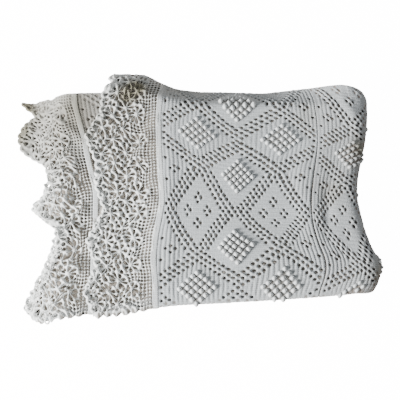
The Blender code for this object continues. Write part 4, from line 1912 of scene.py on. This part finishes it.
def under_piece(name, plies, start, end, pitch, material, inset=0):
    """Folded cloth between two distances along the path, which start and end give at y."""
    section = under_section(plies)
    share, shift, height = section.T
    first, last = (float(np.mean(at(np.zeros(1)))) for at in (start, end))
    count = max(3, int(abs(last - first) / pitch))
    points = []
    shades = []
    for part in np.linspace(0, 1, count + 1):
        near, far = edges_at(np.full(len(share), first + (last - first) * part))
        y = near + share * (far - near)
        s = start(y) * (1 - part) + end(y) * part
        near, far = edges_at(s)
        near = near + inset
        y = near + share * (far - near) + shift
        points.append(place(s, y, height))
        shades.append(ramp(np.minimum(y - near, far - y), SHADE_FROM, SHADE_OVER))
    around = len(share)
    faces = grid_faces(count + 1, around, closed=True).tolist()
    top = count * around
    for i in range(around // 2 - 1):
        j, k, m = i + 1, around - 2 - i, around - 1 - i
        faces += [(i, j, k, m), (top + m, top + k, top + j, top + i)]
    fields = (("shade", np.concatenate(shades)),)
    return make_object(name, np.concatenate(points), faces, material, fields)


def along(distance):
    """A distance along the path that is the same at every y."""
    return lambda y: np.full(np.shape(y), float(distance))


def upper_start(y):
    """Distance along the path of the upper heading line."""
    return top_distance(follow(UPPER_HEAD, y))


def lower_start(y):
    """Distance along the path of the lower heading line."""
    return second_distance(follow(LOWER_HEAD, y))


def upper_end(y):
    """Distance along the path where the plies under the upper border's lace end."""
    return upper_start(y) - upper_width(y) + UNDER_BACK


def lower_end(y):
    """Distance along the path where the plies under the lower border's lace end."""
    return lower_start(y) + lower_width(y) - UNDER_BACK


class LOOKS_OT_plies(Operator):
    """Make the folded plies under the visible ones"""

    bl_idname = "looks.plies"
    bl_label = "Under plies"

    def execute(self, context):
        first = float(np.mean(upper_start(np.linspace(-0.22, 0.22, 9))))
        last = float(np.mean(lower_start(np.linspace(-0.22, 0.17, 9))))
        seams = [along(s) for s in np.linspace(first + FIRST_STRIP, last, STRIPS)]
        bottom = along(STARTS["bottom run"][0])
        bare = along(second_distance(BARE_X))
        rest = (0, 1, 2)
        whole = (0, 1, 2, 3)
        ground = (
            ("under_ply_1", rest, upper_start, seams[0], ("ground_strip_1",)),
            ("under_ply_2", rest, seams[0], bottom, ("ground_strip_2",)),
            ("ply_bottom", whole, bottom, seams[1], ("ground_strip_3",)),
            ("ply_3", whole, seams[1], seams[3], ("ground_strip_4",)),
            ("ply_5", whole, seams[3], seams[5], ("ground_strip_5",)),
            ("ply_7", whole, seams[5], bare, ("ground_strip_6", "ground_strip_7")),
            ("ply_8", (1, 2, 3), bare, lower_start, ()),
        )
        upper_nodes = ("lace_border_upper", "heading_upper")
        lower_nodes = ("lace_border_lower", "heading_lower")
        laces = (
            ("under_lace_upper", rest, upper_end, upper_start, upper_nodes),
            ("under_lace_lower", (2, 3), lower_start, lower_end, lower_nodes),
        )
        for rows, slot, pitch, finish, inset in (
            (ground, "ground", UNDER_PITCH, "under ply cotton", 0),
            (laces, "lace", UNDER_LACE_PITCH, "under lace cotton", UNDER_INSET),
        ):
            for name, plies, start, end, nodes in rows:
                piece = under_piece(name, plies, start, end, pitch, cotton(finish), inset)
                finish_piece(piece, nodes)
                self.flat_size(plies, start, end)
        return {"FINISHED"}

    @staticmethod
    def flat_size(plies, start, end):
        """The cut size of folded plies between two distances along the path."""
        y = np.linspace(-0.15, 0.15, 9)
        first, last = float(np.mean(start(y))), float(np.mean(end(y)))
        near, far = edges_at(np.linspace(first, last, 9))
        return abs(last - first), len(plies) * float(np.mean(far - near))


# ---------------------------------------------------------------- the stage

# The floor: half its side, its colour, and how brightly it glows, also where it is seen directly
FLOOR_REACH = 6.0
FLOOR_COLOUR = (0.42, 0.34, 0.26, 1)
FLOOR_GLOW, FLOOR_SEEN = 0.14, 15.0
# The room's light
ROOM_COLOUR, ROOM_LIGHT = (0.95, 0.98, 1.0, 1), 0.31
# Each lamp: name, place, watts, colour. All are squares of this side, aimed at the bundle.
LAMPS = (
    ("window", (-2.15, -1.05, 1.08), 262, (1.0, 0.995, 0.985)),
    ("far window", (-0.3, 1.6, 1.2), 6, (0.96, 0.98, 1.0)),
)
LAMP_SIDE = 1.0
LAMP_AIM = (0, 0, 0.03)
# The camera: sensor width, angle of view, what it looks at, how far from it, and how high it stands
SENSOR = 36
VIEW_ANGLE = math.radians(28.07)
VIEW_AIM = (0.0131, -0.0122, 0.035)
VIEW_DISTANCE = 1.4
VIEW_TILT = math.radians(75)


class LOOKS_OT_stage(Operator):
    """Make the pale floor, the soft light and the camera"""

    bl_idname = "looks.stage"
    bl_label = "Stage"

    def execute(self, context):
        self.floor()
        world = bpy.data.worlds.new("soft room")
        world.use_nodes = True
        background = world.node_tree.nodes["Background"]
        background.inputs["Color"].default_value = ROOM_COLOUR
        background.inputs["Strength"].default_value = ROOM_LIGHT
        bpy.context.scene.world = world
        for lamp in LAMPS:
            self.lamp(*lamp)
        self.camera()
        return {"FINISHED"}

    @staticmethod
    def floor():
        """A white floor, which glows where it is seen directly."""
        mesh = bpy.data.meshes.new("floor")
        r = FLOOR_REACH
        mesh.from_pydata([(-r, -r, 0), (r, -r, 0), (r, r, 0), (-r, r, 0)], [], [(0, 1, 2, 3)])
        floor = bpy.data.objects.new("floor", mesh)
        paper = bpy.data.materials.new("white paper")
        paper.use_nodes = True
        tree = paper.node_tree
        shader = tree.nodes["Principled BSDF"]
        shader.inputs["Base Color"].default_value = FLOOR_COLOUR
        shader.inputs["Roughness"].default_value = 1.0
        shader.inputs["Emission Color"].default_value = (1, 1, 1, 1)
        path = add_node(tree, "LightPath")
        glow = add_node(tree, "Math", {1: FLOOR_SEEN, 2: FLOOR_GLOW}, operation="MULTIPLY_ADD")
        tree.links.new(path.outputs["Is Camera Ray"], glow.inputs[0])
        tree.links.new(glow.outputs["Value"], shader.inputs["Emission Strength"])
        mesh.materials.append(paper)
        bpy.context.scene.collection.objects.link(floor)

    @staticmethod
    def lamp(name, place_at, watts, colour):
        """A soft square lamp that looks at the bundle."""
        light = bpy.data.lights.new(name, "AREA")
        light.size = LAMP_SIDE
        light.energy = watts
        light.color = colour
        lamp = bpy.data.objects.new(name, light)
        bpy.context.scene.collection.objects.link(lamp)
        lamp.location = place_at
        way = Vector(LAMP_AIM) - lamp.location
        lamp.rotation_euler = way.to_track_quat("-Z", "Y").to_euler()

    @staticmethod
    def camera():
        """The camera, in front of the bundle and above it."""
        data = bpy.data.cameras.new("camera")
        data.sensor_width = SENSOR
        data.lens = SENSOR / (2 * math.tan(VIEW_ANGLE / 2))
        camera = bpy.data.objects.new("camera", data)
        bpy.context.scene.collection.objects.link(camera)
        away = Vector((0, -math.cos(VIEW_TILT), math.sin(VIEW_TILT)))
        camera.location = Vector(VIEW_AIM) + VIEW_DISTANCE * away
        camera.rotation_euler = (math.radians(90) - VIEW_TILT, 0, 0)
        bpy.context.scene.camera = camera


class LOOKS_PT_panel(Panel):
    """Lists the bedspread's pieces and settings"""

    bl_label = "Bedspread"
    bl_idname = "LOOKS_PT_panel"
    bl_space_type = "VIEW_3D"
    bl_region_type = "UI"
    bl_category = "Bedspread"

    def draw(self, context):
        look = context.scene.bedspread_looks
        for group in (look.sizes, look.finish):
            for name in group.__annotations__:
                self.layout.prop(group, name)
        for operator in OPERATORS:
            self.layout.operator(operator.bl_idname)


OPERATORS = (
    LOOKS_OT_stage,
    LOOKS_OT_plies,
    LOOKS_OT_ground,
    LOOKS_OT_below,
    LOOKS_OT_headings,
    LOOKS_OT_bobbles,
    LOOKS_OT_upper_lace,
    LOOKS_OT_lower_lace,
)
CLASSES = (LOOKS_Sizes, LOOKS_Finish, LOOKS_Settings, *OPERATORS, LOOKS_PT_panel)


def register():
    for item in CLASSES:
        bpy.utils.register_class(item)
    bpy.types.Scene.bedspread_looks = PointerProperty(type=LOOKS_Settings)


def unregister():
    del bpy.types.Scene.bedspread_looks
    for item in reversed(CLASSES):
        bpy.utils.unregister_class(item)


def main():
    """Make every piece."""
    register()
    for operator in OPERATORS:
        group, name = operator.bl_idname.split(".")
        getattr(getattr(bpy.ops, group), name)()


if __name__ == "__main__":
    main()
